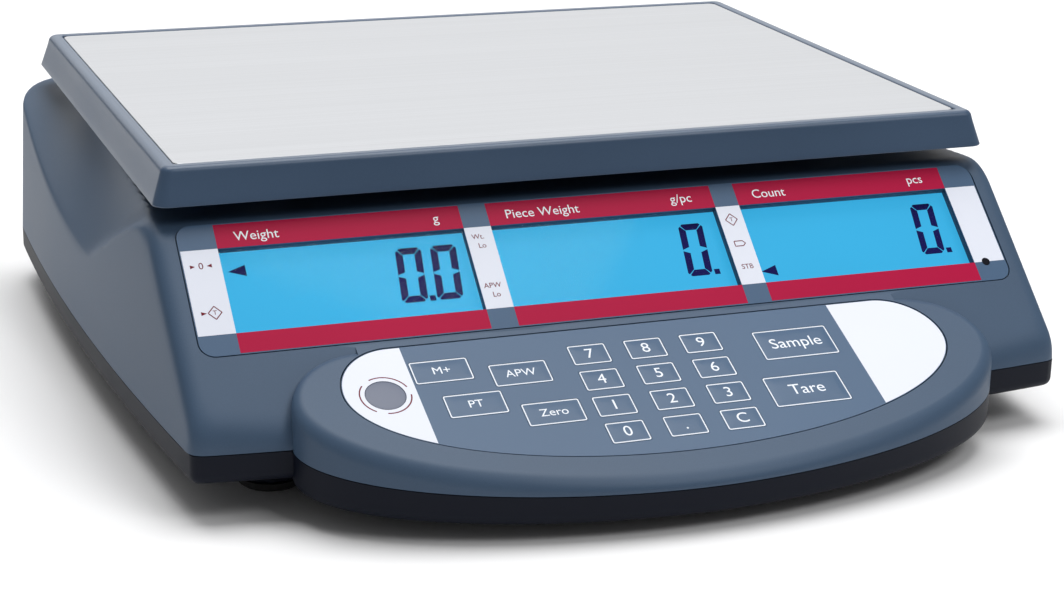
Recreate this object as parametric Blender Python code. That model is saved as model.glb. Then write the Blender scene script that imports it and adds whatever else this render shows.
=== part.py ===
"""Bench counting scale: a low housing with a sloped display, a keypad lip and a lift-off weighing platform.

Sizes are in millimetres and become metres where a mesh is made. The origin is at the middle of the
footprint, on the surface that the scale stands on. +X is the user's right, +Y runs to the back, +Z is up.
"""
import math

import bmesh
import bpy
from mathutils import Matrix, Vector

MM = 0.001
GAP = 0.3                      # clearance between pieces that touch or seat on each other
REACH = 400.0                  # half size of the blocks that stand for half spaces
ARC_STEPS = 4                  # straight pieces in a rounded corner
ROUND = 24                     # sides of a small turned piece

# Feet
PAD_T = 2.7
KNOB_T = 5.0
KNOB_ROOM = 5.0                # from the knob up to the base, so that the foot can be screwed in
FOOT_R = 11.0
KNOB_RIDGES = 12
STUD_R = 3.9
STUD_SHORT = 1.0               # stud's end below the top of its boss
BOSS_R = 8.0
BOSS_H = 15.0
FOOT_FROM_SIDE = 43.0
FOOT_FROM_FRONT = 39.8
FOOT_FROM_BACK = 25.0

# Base and cover
BASE_H = 10.0                  # from the base's underside to the joint line
BASE_WALL = 2.5
COVER_WALL = 3.0
SIDE_MARGIN = 13.0             # widest point of the flank outside the platform
SIDE_BOW = 2.75e-4             # how fast the flanks close in away from that point
BACK_MARGIN = 7.5              # back behind the platform
BACK_CORNER = 25.0
BAND_D = 29.4                  # from the display sheet's lower edge to the front band's foremost point
FRONT_BOW = 4.49e-4
FRONT_STEPS = 3
SIDE_STEPS = 16
FRONT_PULL = 6.0               # how far the flanks lean in from the joint line to the deck, at the front
BACK_PULL = 2.5                # the same at the back
BASE_BOTTOM_Z = PAD_T + GAP + KNOB_T + KNOB_ROOM
PARTING_Z = BASE_BOTTOM_Z + BASE_H

# Weighing platform
PLATFORM_W = 300.0
PLATFORM_D = 225.0
PLATFORM_H = 12.4
PLATFORM_FRONT = 1.9           # skirt's reach over the display facet's top edge
DECK_GAP = 6.0                 # from the deck up to the skirt
SKIRT_INSET = 3.7              # how far the skirt leans in from bottom to top
PLATFORM_CORNER = 5.0
RIM_W = 4.7                    # rim between the skirt's top edge and the steel plate
PLATE_DROP = 0.3               # steel plate's top below the rim's top
PLATE_T = 0.9
TRAY_T = 2.4                   # moulded tray under the steel plate
SKIRT_WALL = 2.5
RIB_H = 3.0

# Display: across the facet, and down it from its top edge
FACET_TILT = math.radians(41.2)
FACET_Y = -62.1                # facet's top edge, ahead of the origin
FACET_DROP = 0.2               # that edge below the deck
LENS_MARGIN = 19.2             # display sheet's end inside the widest point of the flank
LENS_TOP_V = 0.6
LENS_CORNER = 5.0
LENS_T = 0.8
TOP_BAR = 9.3
WINDOW_H = 31.4
LOW_BAR = 7.6
END_BARS = (12.4, 12.2)        # printed bars outside the first and the last window
PILLARS = (9.4, 8.9)           # printed bars between windows
WINDOW_EXTRA = {"weight": 0.93, "piece_weight": 0.03, "count": -0.96}    # width over a third of what is left
LCD_DEPTH = 4.5                # glass face below the facet
LCD_T = 6.0
LCD_MARGIN = 1.6
BOARD_T = 1.6
LED_FROM_END = 7.7
LED_R = 1.4
WINDOW_TOP_V = LENS_TOP_V + TOP_BAR
WINDOW_BOTTOM_V = WINDOW_TOP_V + WINDOW_H
LENS_BOTTOM_V = WINDOW_BOTTOM_V + LOW_BAR
LENS_FOOT_Y = FACET_Y - LENS_BOTTOM_V * math.cos(FACET_TILT)

# Keypad: across the keypad plane, and down it from the overlay's straight top edge.
# The overlay has round shoulders and a half-elliptic front.
KEYPAD_TILT = math.radians(22.93)
LENS_TO_OVERLAY = 3.13         # in plan
LENS_ABOVE_KEYPAD = 0.51
OVERLAY_HALF_W = 104.5
OVERLAY_SHOULDER = 19.0
OVERLAY_FOOT = 6.35            # overlay's front below the lowest row of keys
OVERLAY_T = 0.8
OVERLAY_BELOW = 0.1            # overlay's face below the cover's face
MEMBRANE_T = 0.4
KEY_T = 0.9
KEY_TRAVEL = 0.4
KEY_GAP = 0.3
KEY_CORNER = 0.8
NUMBER_KEY = (13.1, 9.2)
NUMBER_GAP = (6.5, 2.95)
NUMBER_FIRST = (-20.75, 12.1)
NUMBER_ROWS = (("7", "8", "9"), ("4", "5", "6"), ("1", "2", "3"), ("0", "point", "clear"))
FUNCTION_KEY = (19.3, 10.2)
FUNCTION_KEYS = {"memory": (-70.95, 12.7), "unit_weight": (-46.0, 17.5), "preset_tare": (-64.6, 29.2),
                 "zero": (-41.15, 36.55)}
LARGE_KEY = (26.9, 13.9)
LARGE_KEYS = {"sample": (50.8, 16.8), "tare": (45.45, 38.7)}
POWER_KEY = (-91.5, 21.0)
POWER_KEY_R = 6.4
NUMBER_PITCH = (NUMBER_KEY[0] + NUMBER_GAP[0], NUMBER_KEY[1] + NUMBER_GAP[1])
LAST_ROW_V = NUMBER_FIRST[1] + (len(NUMBER_ROWS) - 1) * NUMBER_PITCH[1]
OVERLAY_FRONT = LAST_ROW_V + NUMBER_KEY[1] / 2 + OVERLAY_FOOT - OVERLAY_SHOULDER
KEYPAD_Y = LENS_FOOT_Y - LENS_TO_OVERLAY

# Keypad lip
LIP_SIDE_RIM = 16.5            # lip's side outside the overlay
LIP_FRONT_RIM = 9.7            # lip's front ahead of the overlay, in plan
LIP_FORWARD = 1.98             # lip's widest point ahead of the overlay's
LIP_BACK_TURN = 26.0           # how far the rounded back corners turn in before they meet the facet
LIP_BACK_DEPTH = 21.5
LIP_ROOT = 28.0                # how far the lip's root runs on inside the housing
LIP_FULLNESS = 1.9             # 2 is an ellipse, more is squarer
LIP_EDGE_H = 3.11              # height of the lip's wall at its foremost point
LIP_PARTING_BEHIND = 5.0       # where the lip's joint line meets the housing's, behind the widest point
LIP_PARTING_SLOPE = 0.163
LIP_SINK = 2.7                 # lip's underside below the base's
LIP_BOTTOM_SLOPE = 0.107
LIP_HALF_W = OVERLAY_HALF_W + LIP_SIDE_RIM
LIP_BACK_HALF_W = LIP_HALF_W - LIP_BACK_TURN
LIP_Y = KEYPAD_Y - OVERLAY_SHOULDER * math.cos(KEYPAD_TILT) - LIP_FORWARD
LIP_DEPTH = OVERLAY_FRONT * math.cos(KEYPAD_TILT) + LIP_FRONT_RIM
LIP_FRONT_Y = LIP_Y - LIP_DEPTH
LIP_PARTING_Y = LIP_Y + LIP_PARTING_BEHIND
LIP_BOTTOM_Z = BASE_BOTTOM_Z - LIP_SINK

# Heights and depths that follow from the above
LIP_EDGE_Z = PARTING_Z + LIP_PARTING_SLOPE * (LIP_FRONT_Y - LIP_PARTING_Y) + LIP_EDGE_H
KEYPAD_Z = LIP_EDGE_Z + (KEYPAD_Y - LIP_FRONT_Y) * math.tan(KEYPAD_TILT)
LENS_FOOT_Z = KEYPAD_Z + LENS_TO_OVERLAY * math.tan(KEYPAD_TILT) + LENS_ABOVE_KEYPAD
FACET_Z = LENS_FOOT_Z + LENS_BOTTOM_V * math.sin(FACET_TILT)
DECK_Z = FACET_Z + FACET_DROP
SKIRT_Z = DECK_Z + DECK_GAP
PLATFORM_Y = FACET_Y - PLATFORM_FRONT + PLATFORM_D / 2
BACK_Y = PLATFORM_Y + PLATFORM_D / 2 + BACK_MARGIN
FRONT_Y = LENS_FOOT_Y - BAND_D
HALF_WIDTH = PLATFORM_W / 2 + SIDE_MARGIN
LENS_W = 2 * (HALF_WIDTH - LENS_MARGIN)

# Scoops in the flanks beside the platform
WIDEST_BEHIND = 33.5           # widest point of the flanks behind the platform's middle
SCOOP_BEHIND = 5.1             # where the scoop's front edge leaves the deck, behind the facet's top edge
SCOOP_FRONT_FALL = 0.468       # slope of that front edge
SCOOP_FALL = 29.9              # lowest point of the scoop's outer edge, below the deck
SCOOP_LOW_AHEAD = 40.5         # that point in front of the platform's middle
SCOOP_RISE = 0.0012            # how fast the outer edge rises away from it
SCOOP_MARGIN = 14.5            # deck's edge inside the widest point of the flank, at the scoop's front end
SCOOP_FLARE = 0.055            # how fast the deck's edge closes in towards the back
WIDEST_Y = PLATFORM_Y + WIDEST_BEHIND
SCOOP_FRONT_Y = FACET_Y + SCOOP_BEHIND
SCOOP_LOW_Z = DECK_Z - SCOOP_FALL
SCOOP_LOW_Y = PLATFORM_Y - SCOOP_LOW_AHEAD
SCOOP_DECK_X = HALF_WIDTH - SCOOP_MARGIN

# Weighing mechanism
CELL_L = 130.0
CELL_W = 30.0
CELL_H = 22.0
CELL_BLOCK_H = 9.9
CELL_END = 30.0                # length of the clamped end at either side
CELL_NECK = 6.0                # solid metal between a clamped end and the bending window
CELL_SLOT = 8.0                # height of that window
CELL_TRAVEL = 0.5
SPIDER_ROOM = 6.0              # from the load cell up to the spider's cross
SPIDER_T = 6.0
ARM_W = 16.0
POST_FROM_SIDE = 45.0          # post's axis inside the platform's side
POST_FROM_END = 42.5           # and inside its front and back
POST_R = 5.0
POST_ROOM = 4.0                # round the post, where it passes the deck
CUSHION_LIP = 3.0              # cushion's edge outside the post
CUSHION_T = 3.8
STOP_R = 3.0
STOP_GAP = 0.6                 # free travel below the load cell's free end
BASE_FLOOR_Z = BASE_BOTTOM_Z + BASE_WALL + GAP
CELL_BOTTOM_Z = BASE_FLOOR_Z + CELL_BLOCK_H + GAP
SPIDER_Z = CELL_BOTTOM_Z + CELL_H + SPIDER_ROOM
POST_X = PLATFORM_W / 2 - POST_FROM_SIDE
POST_Y = PLATFORM_D / 2 - POST_FROM_END
CUSHION_R = POST_R + CUSHION_LIP

# Sockets, battery, board and level bubble
INLET = (31.0, 22.0, 24.0)     # across, deep, high
INLET_MARGIN = 68.0            # its middle inside the widest point of the flank
INLET_WALL = 3.0
INLET_FRONT = 0.4              # face in from the housing's back
INLET_PIN = (2.0, 12.0, 4.0)
INLET_PINS = {"line": (-7.0, -2.0), "neutral": (7.0, -2.0), "earth": (0.0, 2.0)}
SOCKET_UP = 22.0               # sockets' middles above the joint line
SERIAL = (31.0, 12.0, 13.0)
SERIAL_PITCH = 55.0            # from the inlet's middle
SERIAL_WALL = 2.2
SERIAL_BACK = 5.0              # thickness behind its recess
BATTERY = (134.0, 60.0, 34.0)
BATTERY_MARGIN = 63.0          # its left end inside the widest point of the flank
BATTERY_FORWARD = 0.8          # ahead of the middle between the load cell and the inlet
BATTERY_LUG = (6.0, 5.0, 4.0)
LUG_FROM_END = 12.0
LUG_PITCH = 18.0
DOOR_MARGIN = 5.0
DOOR_T = 2.0
DOOR_GRIPS = 3
DOOR_GRIP = (33.5, 2.0, 1.0)   # long, wide, deep
DOOR_GRIP_PITCH = 5.0
DOOR_GRIP_EDGE = 4.0           # first grip inside the battery's back end
MAIN_BOARD = (120.0, 62.0)
MAIN_BOARD_BEHIND = 26.1       # its middle behind the facet's top edge
MAIN_BOARD_UP = 8.2            # above the base's floor
BUBBLE_R = 7.0
BUBBLE_T = 5.0
BUBBLE_PROUD = 1.0
BUBBLE_BEHIND = 60.0
INLET_CENTRE = (INLET_MARGIN - HALF_WIDTH, PARTING_Z + SOCKET_UP)
SERIAL_CENTRE = (INLET_CENTRE[0] + SERIAL_PITCH, PARTING_Z + SOCKET_UP)
INLET_INNER_Y = BACK_Y - INLET_FRONT - INLET[1]
BATTERY_CENTRE = (BATTERY_MARGIN - HALF_WIDTH + BATTERY[0] / 2,
                  (PLATFORM_Y + CELL_W / 2 + INLET_INNER_Y) / 2 - BATTERY_FORWARD)
MAIN_BOARD_CENTRE = (0.0, FACET_Y + MAIN_BOARD_BEHIND)
BUBBLE_CENTRE = (0.0, FACET_Y + BUBBLE_BEHIND)

# Case screws
SCREW_MARGIN = 33.0            # inside the widest point of the flank
SCREW_BEHIND = 37.1            # front pair behind the facet's top edge
SCREW_FROM_BACK = 78.5
SCREW_L = 27.0                 # above the base's underside
SCREW_R = 1.5
SCREW_HEAD_R = 3.4
SCREW_HEAD_T = 1.8
SCREW_BOSS_R = 4.2

FACET_FRAME = (Matrix.Translation(Vector((0, FACET_Y, FACET_Z)) * MM)
               @ Matrix.Rotation(FACET_TILT, 4, "X"))
KEYPAD_FRAME = (Matrix.Translation(Vector((0, KEYPAD_Y, KEYPAD_Z)) * MM)
                @ Matrix.Rotation(KEYPAD_TILT, 4, "X"))


# ---------------------------------------------------------------- building blocks

def clear_scene():
    for item in list(bpy.data.objects):
        bpy.data.objects.remove(item, do_unlink=True)


def material(name, colour, roughness, metallic=0.0):
    made = bpy.data.materials.new(name)
    made.use_nodes = True
    shader = made.node_tree.nodes["Principled BSDF"]
    shader.inputs["Base Color"].default_value = (*colour, 1.0)
    shader.inputs["Roughness"].default_value = roughness
    shader.inputs["Metallic"].default_value = metallic
    return made


def solid(name, rings, mat=None, origin=(0, 0, 0), frame=None):
    """One closed body skinned through rings of points that run anticlockwise, from the lowest ring up."""
    mesh = bmesh.new()
    start = Vector(origin)
    loops = [[mesh.verts.new((Vector(p) - start) * MM) for p in ring] for ring in rings]
    count = len(loops[0])
    for low, high in zip(loops, loops[1:]):
        for i in range(count):
            j = (i + 1) % count
            mesh.faces.new((low[i], low[j], high[j], high[i]))
    mesh.faces.new(list(reversed(loops[0])))
    mesh.faces.new(loops[-1])
    mesh.normal_update()
    data = bpy.data.meshes.new(name)
    mesh.to_mesh(data)
    mesh.free()
    made = bpy.data.objects.new(name, data)
    bpy.context.collection.objects.link(made)
    place = Matrix.Translation(start * MM)
    made.matrix_world = frame @ place if frame else place
    if mat:
        data.materials.append(mat)
    return made


def prism(name, outline, low, high, mat=None, origin=(0, 0, 0), frame=None):
    """An upright solid on a flat outline. low and high are heights, or functions of x and y."""
    def height(value, point):
        return value(*point) if callable(value) else value
    rings = [[(*point, height(level, point)) for point in outline] for level in (low, high)]
    return solid(name, rings, mat, origin, frame)


def rectangle(width, depth, centre=(0, 0), corner=0.0):
    x, y = centre
    w, d = width / 2, depth / 2
    corners = [(x - w, y - d), (x + w, y - d), (x + w, y + d), (x - w, y + d)]
    return rounded([(*point, corner) for point in corners])


def block(name, size, centre, low, mat=None, corner=0.0):
    return prism(name, rectangle(size[0], size[1], centre, corner), low, low + size[2], mat)


def circle(radius, centre=(0, 0), steps=ROUND):
    return [(centre[0] + radius * math.cos(math.tau * i / steps),
             centre[1] + radius * math.sin(math.tau * i / steps)) for i in range(steps)]


def rounded(corners):
    """The outline through corners (x, y, radius), with an arc where the radius isn't 0."""
    points = []
    for i, (x, y, radius) in enumerate(corners):
        here = Vector((x, y))
        if not radius:
            points.append((x, y))
            continue
        back = (Vector(corners[i - 1][:2]) - here).normalized()
        ahead = (Vector(corners[(i + 1) % len(corners)][:2]) - here).normalized()
        half = back.angle(ahead) / 2
        centre = here + (back + ahead).normalized() * radius / math.sin(half)
        first = here + back * radius / math.tan(half) - centre
        turn = math.pi - 2 * half
        for step in range(ARC_STEPS + 1):
            spun = first.copy()
            spun.rotate(Matrix.Rotation(turn * step / ARC_STEPS, 2))
            points.append(tuple(centre + spun))
    return points


def turned(name, profile, centre, mat, ridges=0, ridge=0.0):
    """A turned piece from (radius, height) pairs, lowest first; ridges flute its rim."""
    steps = ROUND if not ridges else ridges * 4
    rings = []
    for radius, height in profile:
        ring = []
        for i in range(steps):
            angle = math.tau * i / steps
            r = radius - (ridge if ridges and i % 4 in (0, 1) else 0.0)
            ring.append((centre[0] + r * math.cos(angle), centre[1] + r * math.sin(angle), height))
        rings.append(ring)
    return solid(name, rings, mat, origin=(centre[0], centre[1], profile[0][1]))


def half_space(name, frame, height=0.0):
    """A large block whose underside is the frame's XY plane, raised by height."""
    size = 2 * REACH
    return prism(name, rectangle(size, size), height, height + size, frame=frame)


def hide(helper):
    helper.hide_render = True
    helper.display_type = "WIRE"
    return helper


def boolean(target, helper, operation):
    step = target.modifiers.new(helper.name, "BOOLEAN")
    step.operation = operation
    step.object = hide(helper)
    step.solver = "EXACT"


def cut(target, *helpers):
    for helper in helpers:
        boolean(target, helper, "DIFFERENCE")


def join(target, *helpers):
    for helper in helpers:
        boolean(target, helper, "UNION")


# ---------------------------------------------------------------- housing form

def half_width(y):
    return HALF_WIDTH - SIDE_BOW * (y - WIDEST_Y) ** 2


def front_line(x):
    return FRONT_Y + FRONT_BOW * x * x


def scoop_edge(y):
    """Height of the scoop's outer edge on the flank."""
    front = DECK_Z - SCOOP_FRONT_FALL * (y - SCOOP_FRONT_Y)
    bottom = SCOOP_LOW_Z + SCOOP_RISE * (y - SCOOP_LOW_Y) ** 2
    return max(front, bottom)


def facet_z(y):
    return FACET_Z + (y - FACET_Y) * math.tan(FACET_TILT)


def stations(inset):
    """Places along Y, front to back, with the housing's half width there at the joint line."""
    corner_x = half_width(front_line(half_width(FRONT_Y)))
    made = []
    for i in range(FRONT_STEPS + 1):
        x = LIP_HALF_W + (corner_x - LIP_HALF_W) * i / FRONT_STEPS
        made.append((front_line(x) + inset, x - inset))
    crease = FACET_Y + FACET_DROP / math.tan(FACET_TILT)
    arc_y = BACK_Y - BACK_CORNER
    made += [((made[-1][0] + crease) / 2, None), (crease, None)]
    for i in range(SIDE_STEPS):
        made.append((SCOOP_FRONT_Y + (arc_y - SCOOP_FRONT_Y) * i / SIDE_STEPS, None))
    made = [(y, half_width(y) - inset if x is None else x) for y, x in made]
    radius = BACK_CORNER - inset
    for i in range(ARC_STEPS + 1):
        angle = math.pi / 2 * i / ARC_STEPS
        x = half_width(arc_y) - BACK_CORNER + radius * math.cos(angle)
        made.append((arc_y + radius * math.sin(angle), x))
    return made


def housing_outline(inset):
    """Plan of the housing at the joint line, pulled in by inset all round."""
    right = [(x, y) for y, x in stations(inset)]
    return right + [(-x, y) for x, y in reversed(right)]


def flank_pull(y, z):
    """How far a flank has leant in at height z above the joint line."""
    share = (y - FRONT_Y) / (BACK_Y - FRONT_Y)
    return (FRONT_PULL + (BACK_PULL - FRONT_PULL) * share) * (z - PARTING_Z) / (DECK_Z - PARTING_Z)


def section(y, foot_x, inset, low):
    """The housing's cross-section at y: joint line, scoop edge and deck edge on each side."""
    slope = math.cos(FACET_TILT) if facet_z(y) < DECK_Z else 1.0
    top = min(facet_z(y), DECK_Z) - inset / slope
    deck_x = foot_x - flank_pull(y, top)
    edge = (low + top) / 2
    if y >= SCOOP_FRONT_Y:
        deck_x = min(deck_x, SCOOP_DECK_X - SCOOP_FLARE * (y - SCOOP_FRONT_Y) - inset)
        edge = min(scoop_edge(y), top - 0.5) - inset / 2
    edge_x = foot_x - flank_pull(y, edge)
    right = [(foot_x, low), (edge_x, edge), (deck_x, top)]
    return [(x, y, z) for x, z in right] + [(-x, y, z) for x, z in reversed(right)]


def lip_outline(inset):
    """Plan of the keypad lip: a full half ellipse in front, elliptic back corners, and a root."""
    a = LIP_HALF_W - inset
    b = LIP_DEPTH - inset
    steps = 28
    front = []
    for i in range(steps + 1):
        angle = math.pi + math.pi * i / steps
        c, s = math.cos(angle), math.sin(angle)
        x = a * math.copysign(abs(c) ** (2 / LIP_FULLNESS), c)
        front.append((x, LIP_Y - b * abs(s) ** (2 / LIP_FULLNESS)))
    corner = []
    for i in range(1, ARC_STEPS + 1):
        angle = math.pi / 2 * i / ARC_STEPS
        corner.append((LIP_BACK_HALF_W + (a - LIP_BACK_HALF_W) * math.cos(angle),
                       LIP_Y + (LIP_BACK_DEPTH - inset) * math.sin(angle)))
    corner.append((LIP_BACK_HALF_W, LIP_Y + LIP_BACK_DEPTH + LIP_ROOT))
    return front + corner + [(-x, y) for x, y in reversed(corner)]


def lip_parting(x, y):
    return PARTING_Z + LIP_PARTING_SLOPE * (y - LIP_PARTING_Y)


def lip_bottom(x, y):
    return min(LIP_BOTTOM_Z + LIP_BOTTOM_SLOPE * (y - LIP_PARTING_Y), LIP_BOTTOM_Z)


def cover_form(name, inset, drop, mat=None):
    """The cover's solid form, inset all round, with its underside dropped below the joint line."""
    low = PARTING_Z - drop
    sections = [section(y, x, inset, low) for y, x in stations(inset)]
    form = solid(name, sections, mat)
    lip = prism(f"{name}_lip", lip_outline(inset), lambda x, y: lip_parting(x, y) - drop, DECK_Z)
    cut(lip, half_space(f"{name}_keypad_space", KEYPAD_FRAME, -inset))
    join(form, lip)
    return form


# ---------------------------------------------------------------- outlines on the sloped faces

def lens_outline(extra=0.0):
    height = LENS_BOTTOM_V - LENS_TOP_V + 2 * extra
    middle = (0.0, -(LENS_TOP_V + LENS_BOTTOM_V) / 2)
    return rectangle(LENS_W + 2 * extra, height, middle, LENS_CORNER + extra)


def windows():
    """Each window's left and right end on the facet."""
    equal = (LENS_W - sum(END_BARS) - sum(PILLARS)) / len(WINDOW_EXTRA)
    left = -LENS_W / 2 + END_BARS[0]
    made = {}
    for (name, extra), bar in zip(WINDOW_EXTRA.items(), (*PILLARS, END_BARS[1])):
        made[name] = (left, left + equal + extra)
        left += equal + extra + bar
    return made


def window_outline(span, extra=0.0):
    left, right = span
    middle = ((left + right) / 2, -(WINDOW_TOP_V + WINDOW_BOTTOM_V) / 2)
    return rectangle(right - left + 2 * extra, WINDOW_BOTTOM_V - WINDOW_TOP_V + 2 * extra, middle)


def overlay_outline(extra=0.0):
    r = OVERLAY_SHOULDER
    x0 = OVERLAY_HALF_W - r
    points = []
    for i in range(7):
        angle = math.pi / 2 * i / 6
        points.append((x0 + (r + extra) * math.cos(angle), -r + (r + extra) * math.sin(angle)))
    points += [(-x, y) for x, y in reversed(points)]
    steps = 22
    for i in range(1, steps):
        angle = math.pi + math.pi * i / steps
        x = (OVERLAY_HALF_W + extra) * math.cos(angle)
        points.append((x, -r + (OVERLAY_FRONT + extra) * math.sin(angle)))
    return points


def key_places():
    """Each square key's name, size and centre on the keypad plane."""
    places = {f"key_{name}": (FUNCTION_KEY, at) for name, at in FUNCTION_KEYS.items()}
    places.update({f"key_{name}": (LARGE_KEY, at) for name, at in LARGE_KEYS.items()})
    for row, names in enumerate(NUMBER_ROWS):
        for column, name in enumerate(names):
            at = (NUMBER_FIRST[0] + column * NUMBER_PITCH[0], NUMBER_FIRST[1] + row * NUMBER_PITCH[1])
            places[f"key_{name}"] = (NUMBER_KEY, at)
    return places


def key_outline(size, at, extra=0.0):
    return rectangle(size[0] + 2 * extra, size[1] + 2 * extra, (at[0], -at[1]), KEY_CORNER + extra)


# ---------------------------------------------------------------- housing

def led_outline(extra=0.0):
    return circle(LED_R + extra, (LENS_W / 2 - LED_FROM_END, -WINDOW_BOTTOM_V), 16)


def top_cover(mat):
    """Shell with seats for the display sheet and the keypad, and holes for what passes through it."""
    cover = cover_form("top_cover", 0.0, 0.0, mat)
    cut(cover, cover_form("cover_inside", COVER_WALL, 10.0))
    deep = 2 * COVER_WALL
    lens_seat = LENS_T + GAP + OVERLAY_BELOW
    cut(cover, prism("lens_seat", lens_outline(GAP), -lens_seat, deep, frame=FACET_FRAME))
    for name, span in windows().items():
        cut(cover, prism(f"window_{name}", window_outline(span), -deep, deep, frame=FACET_FRAME))
    cut(cover, prism("led_hole", led_outline(GAP), -deep, deep, frame=FACET_FRAME))
    keypad_seat = OVERLAY_BELOW + OVERLAY_T + MEMBRANE_T + 2 * GAP
    cut(cover, prism("keypad_seat", overlay_outline(GAP), -keypad_seat, deep, frame=KEYPAD_FRAME))
    for name, place in post_places().items():
        hole = circle(POST_R + POST_ROOM, place)
        cut(cover, prism(f"post_hole_{name}", hole, DECK_Z - deep, DECK_Z + deep))
    hole = circle(BUBBLE_R + GAP, BUBBLE_CENTRE)
    cut(cover, prism("bubble_hole", hole, DECK_Z - deep, DECK_Z + deep))
    for name, size, centre in (("inlet", INLET, INLET_CENTRE), ("serial", SERIAL, SERIAL_CENTRE)):
        hole = (size[0] + 2 * GAP, 3 * deep, size[2] + 2 * GAP)
        cut(cover, block(f"{name}_hole", hole, (centre[0], BACK_Y - COVER_WALL), centre[1] - hole[2] / 2))
    for name, place in screw_places().items():
        boss = circle(SCREW_BOSS_R, place, 12)
        join(cover, prism(f"cover_boss_{name}", boss, PARTING_Z + 2, DECK_Z - COVER_WALL / 2))
        hole = circle(SCREW_R + GAP, place, 12)
        cut(cover, prism(f"cover_screw_hole_{name}", hole, 0, BASE_BOTTOM_Z + SCREW_L + 1))


def base_tub(mat):
    """Shallow tub with a boss for each foot, screw holes and an open battery bay."""
    tub = base_form("base_tub", 0.0, mat)
    cut(tub, base_form("base_inside", BASE_WALL))
    cut(tub, prism("lip_parting_cut", lip_outline(-GAP), lambda x, y: lip_parting(x, y) - GAP, DECK_Z))
    for name, place in foot_places().items():
        boss = circle(BOSS_R, place)
        join(tub, prism(f"foot_boss_{name}", boss, BASE_BOTTOM_Z + BASE_WALL / 2, BASE_BOTTOM_Z + BOSS_H))
        cut(tub, prism(f"foot_hole_{name}", circle(STUD_R + GAP, place), 0, DECK_Z))
    for name, place in screw_places().items():
        cut(tub, prism(f"base_screw_hole_{name}", circle(SCREW_R + GAP, place, 12), 0, DECK_Z))
    bay = (BATTERY[0] + 2 * GAP, BATTERY[1] + 2 * GAP, 2 * BASE_WALL)
    cut(tub, block("battery_bay", bay, BATTERY_CENTRE, BASE_BOTTOM_Z - BASE_WALL / 2))


def base_form(name, inset, mat=None):
    """The base's solid form below the joint line; the inset form is open at the top."""
    top = PARTING_Z - GAP + (2 * BASE_WALL if inset else 0)
    form = prism(name, housing_outline(inset), BASE_BOTTOM_Z + inset, top, mat)
    join(form, prism(f"{name}_lip", lip_outline(inset), lambda x, y: lip_bottom(x, y) + inset, top))
    return form


# ---------------------------------------------------------------- display and keypad

def display(mats):
    """Printed sheet, the glass behind each window, their board and the charge light."""
    face = -OVERLAY_BELOW
    lens = prism("display_lens", lens_outline(), face - LENS_T, face, mats["lens"], frame=FACET_FRAME)
    cut(lens, prism("lens_led_hole", led_outline(GAP), -2 * LENS_T, LENS_T, frame=FACET_FRAME))
    for name, span in windows().items():
        outline = window_outline(span, LCD_MARGIN)
        prism(f"lcd_{name}", outline, -LCD_DEPTH - LCD_T, -LCD_DEPTH, mats["lcd"], frame=FACET_FRAME)
    top = -LCD_DEPTH - LCD_T - GAP
    middle = (0.0, -(WINDOW_TOP_V + WINDOW_BOTTOM_V) / 2)
    size = (LENS_W - 8 * LCD_MARGIN, WINDOW_BOTTOM_V - WINDOW_TOP_V + 2 * LCD_MARGIN)
    board = rectangle(*size, middle, 2.0)
    prism("display_board", board, top - BOARD_T, top, mats["board"], frame=FACET_FRAME)
    prism("charge_led", led_outline(), -LCD_DEPTH, face, mats["led"], frame=FACET_FRAME)


def keypad(mats):
    """Overlay with a hole for each key, the switch membrane under it, and the keys clear of both."""
    face = -OVERLAY_BELOW
    under = face - OVERLAY_T - GAP
    deep = 2 * OVERLAY_T
    overlay = prism("keypad_overlay", overlay_outline(), face - OVERLAY_T, face, mats["overlay"],
                    frame=KEYPAD_FRAME)
    prism("keypad_membrane", overlay_outline(-1.0), under - MEMBRANE_T, under, mats["board"],
          frame=KEYPAD_FRAME)
    low = under + KEY_TRAVEL + 0.05
    for name, (size, at) in key_places().items():
        cut(overlay, prism(f"{name}_hole", key_outline(size, at, KEY_GAP), -deep, deep, frame=KEYPAD_FRAME))
        origin = (at[0], -at[1], low)
        prism(name, key_outline(size, at), low, low + KEY_T, mats["key"], origin, KEYPAD_FRAME)
    at = (POWER_KEY[0], -POWER_KEY[1])
    hole = circle(POWER_KEY_R + KEY_GAP, at)
    cut(overlay, prism("key_power_hole", hole, -deep, deep, frame=KEYPAD_FRAME))
    prism("key_power", circle(POWER_KEY_R, at), low, low + KEY_T, mats["power_key"], (*at, low), KEYPAD_FRAME)


# ---------------------------------------------------------------- weighing mechanism

def post_places():
    return {f"{end}_{side}": (sx * POST_X, PLATFORM_Y + sy * POST_Y)
            for end, sy in (("front", -1), ("rear", 1)) for side, sx in (("left", -1), ("right", 1))}


def load_cell(mats):
    """Aluminium beam on a block at its left end, with a stop below its free right end."""
    fixed_x = -(CELL_L - CELL_END) / 2
    block_size = (CELL_END, CELL_W, CELL_BLOCK_H)
    block("load_cell_block", block_size, (fixed_x, PLATFORM_Y), BASE_FLOOR_Z, mats["steel"])
    cell = block("load_cell", (CELL_L, CELL_W, CELL_H), (0, PLATFORM_Y), CELL_BOTTOM_Z, mats["aluminium"])
    window = (CELL_L - 2 * (CELL_END + CELL_NECK), 2 * CELL_W, CELL_SLOT)
    cut(cell, block("cell_window", window, (0, PLATFORM_Y), CELL_BOTTOM_Z + (CELL_H - CELL_SLOT) / 2))
    foot_r = STOP_R * 1.6
    foot_top = BASE_FLOOR_Z + 3
    stop = [(foot_r, BASE_FLOOR_Z), (foot_r, foot_top), (STOP_R, foot_top),
            (STOP_R, CELL_BOTTOM_Z - STOP_GAP)]
    turned("overload_stop", stop, (-fixed_x, PLATFORM_Y), mats["steel"])


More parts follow.
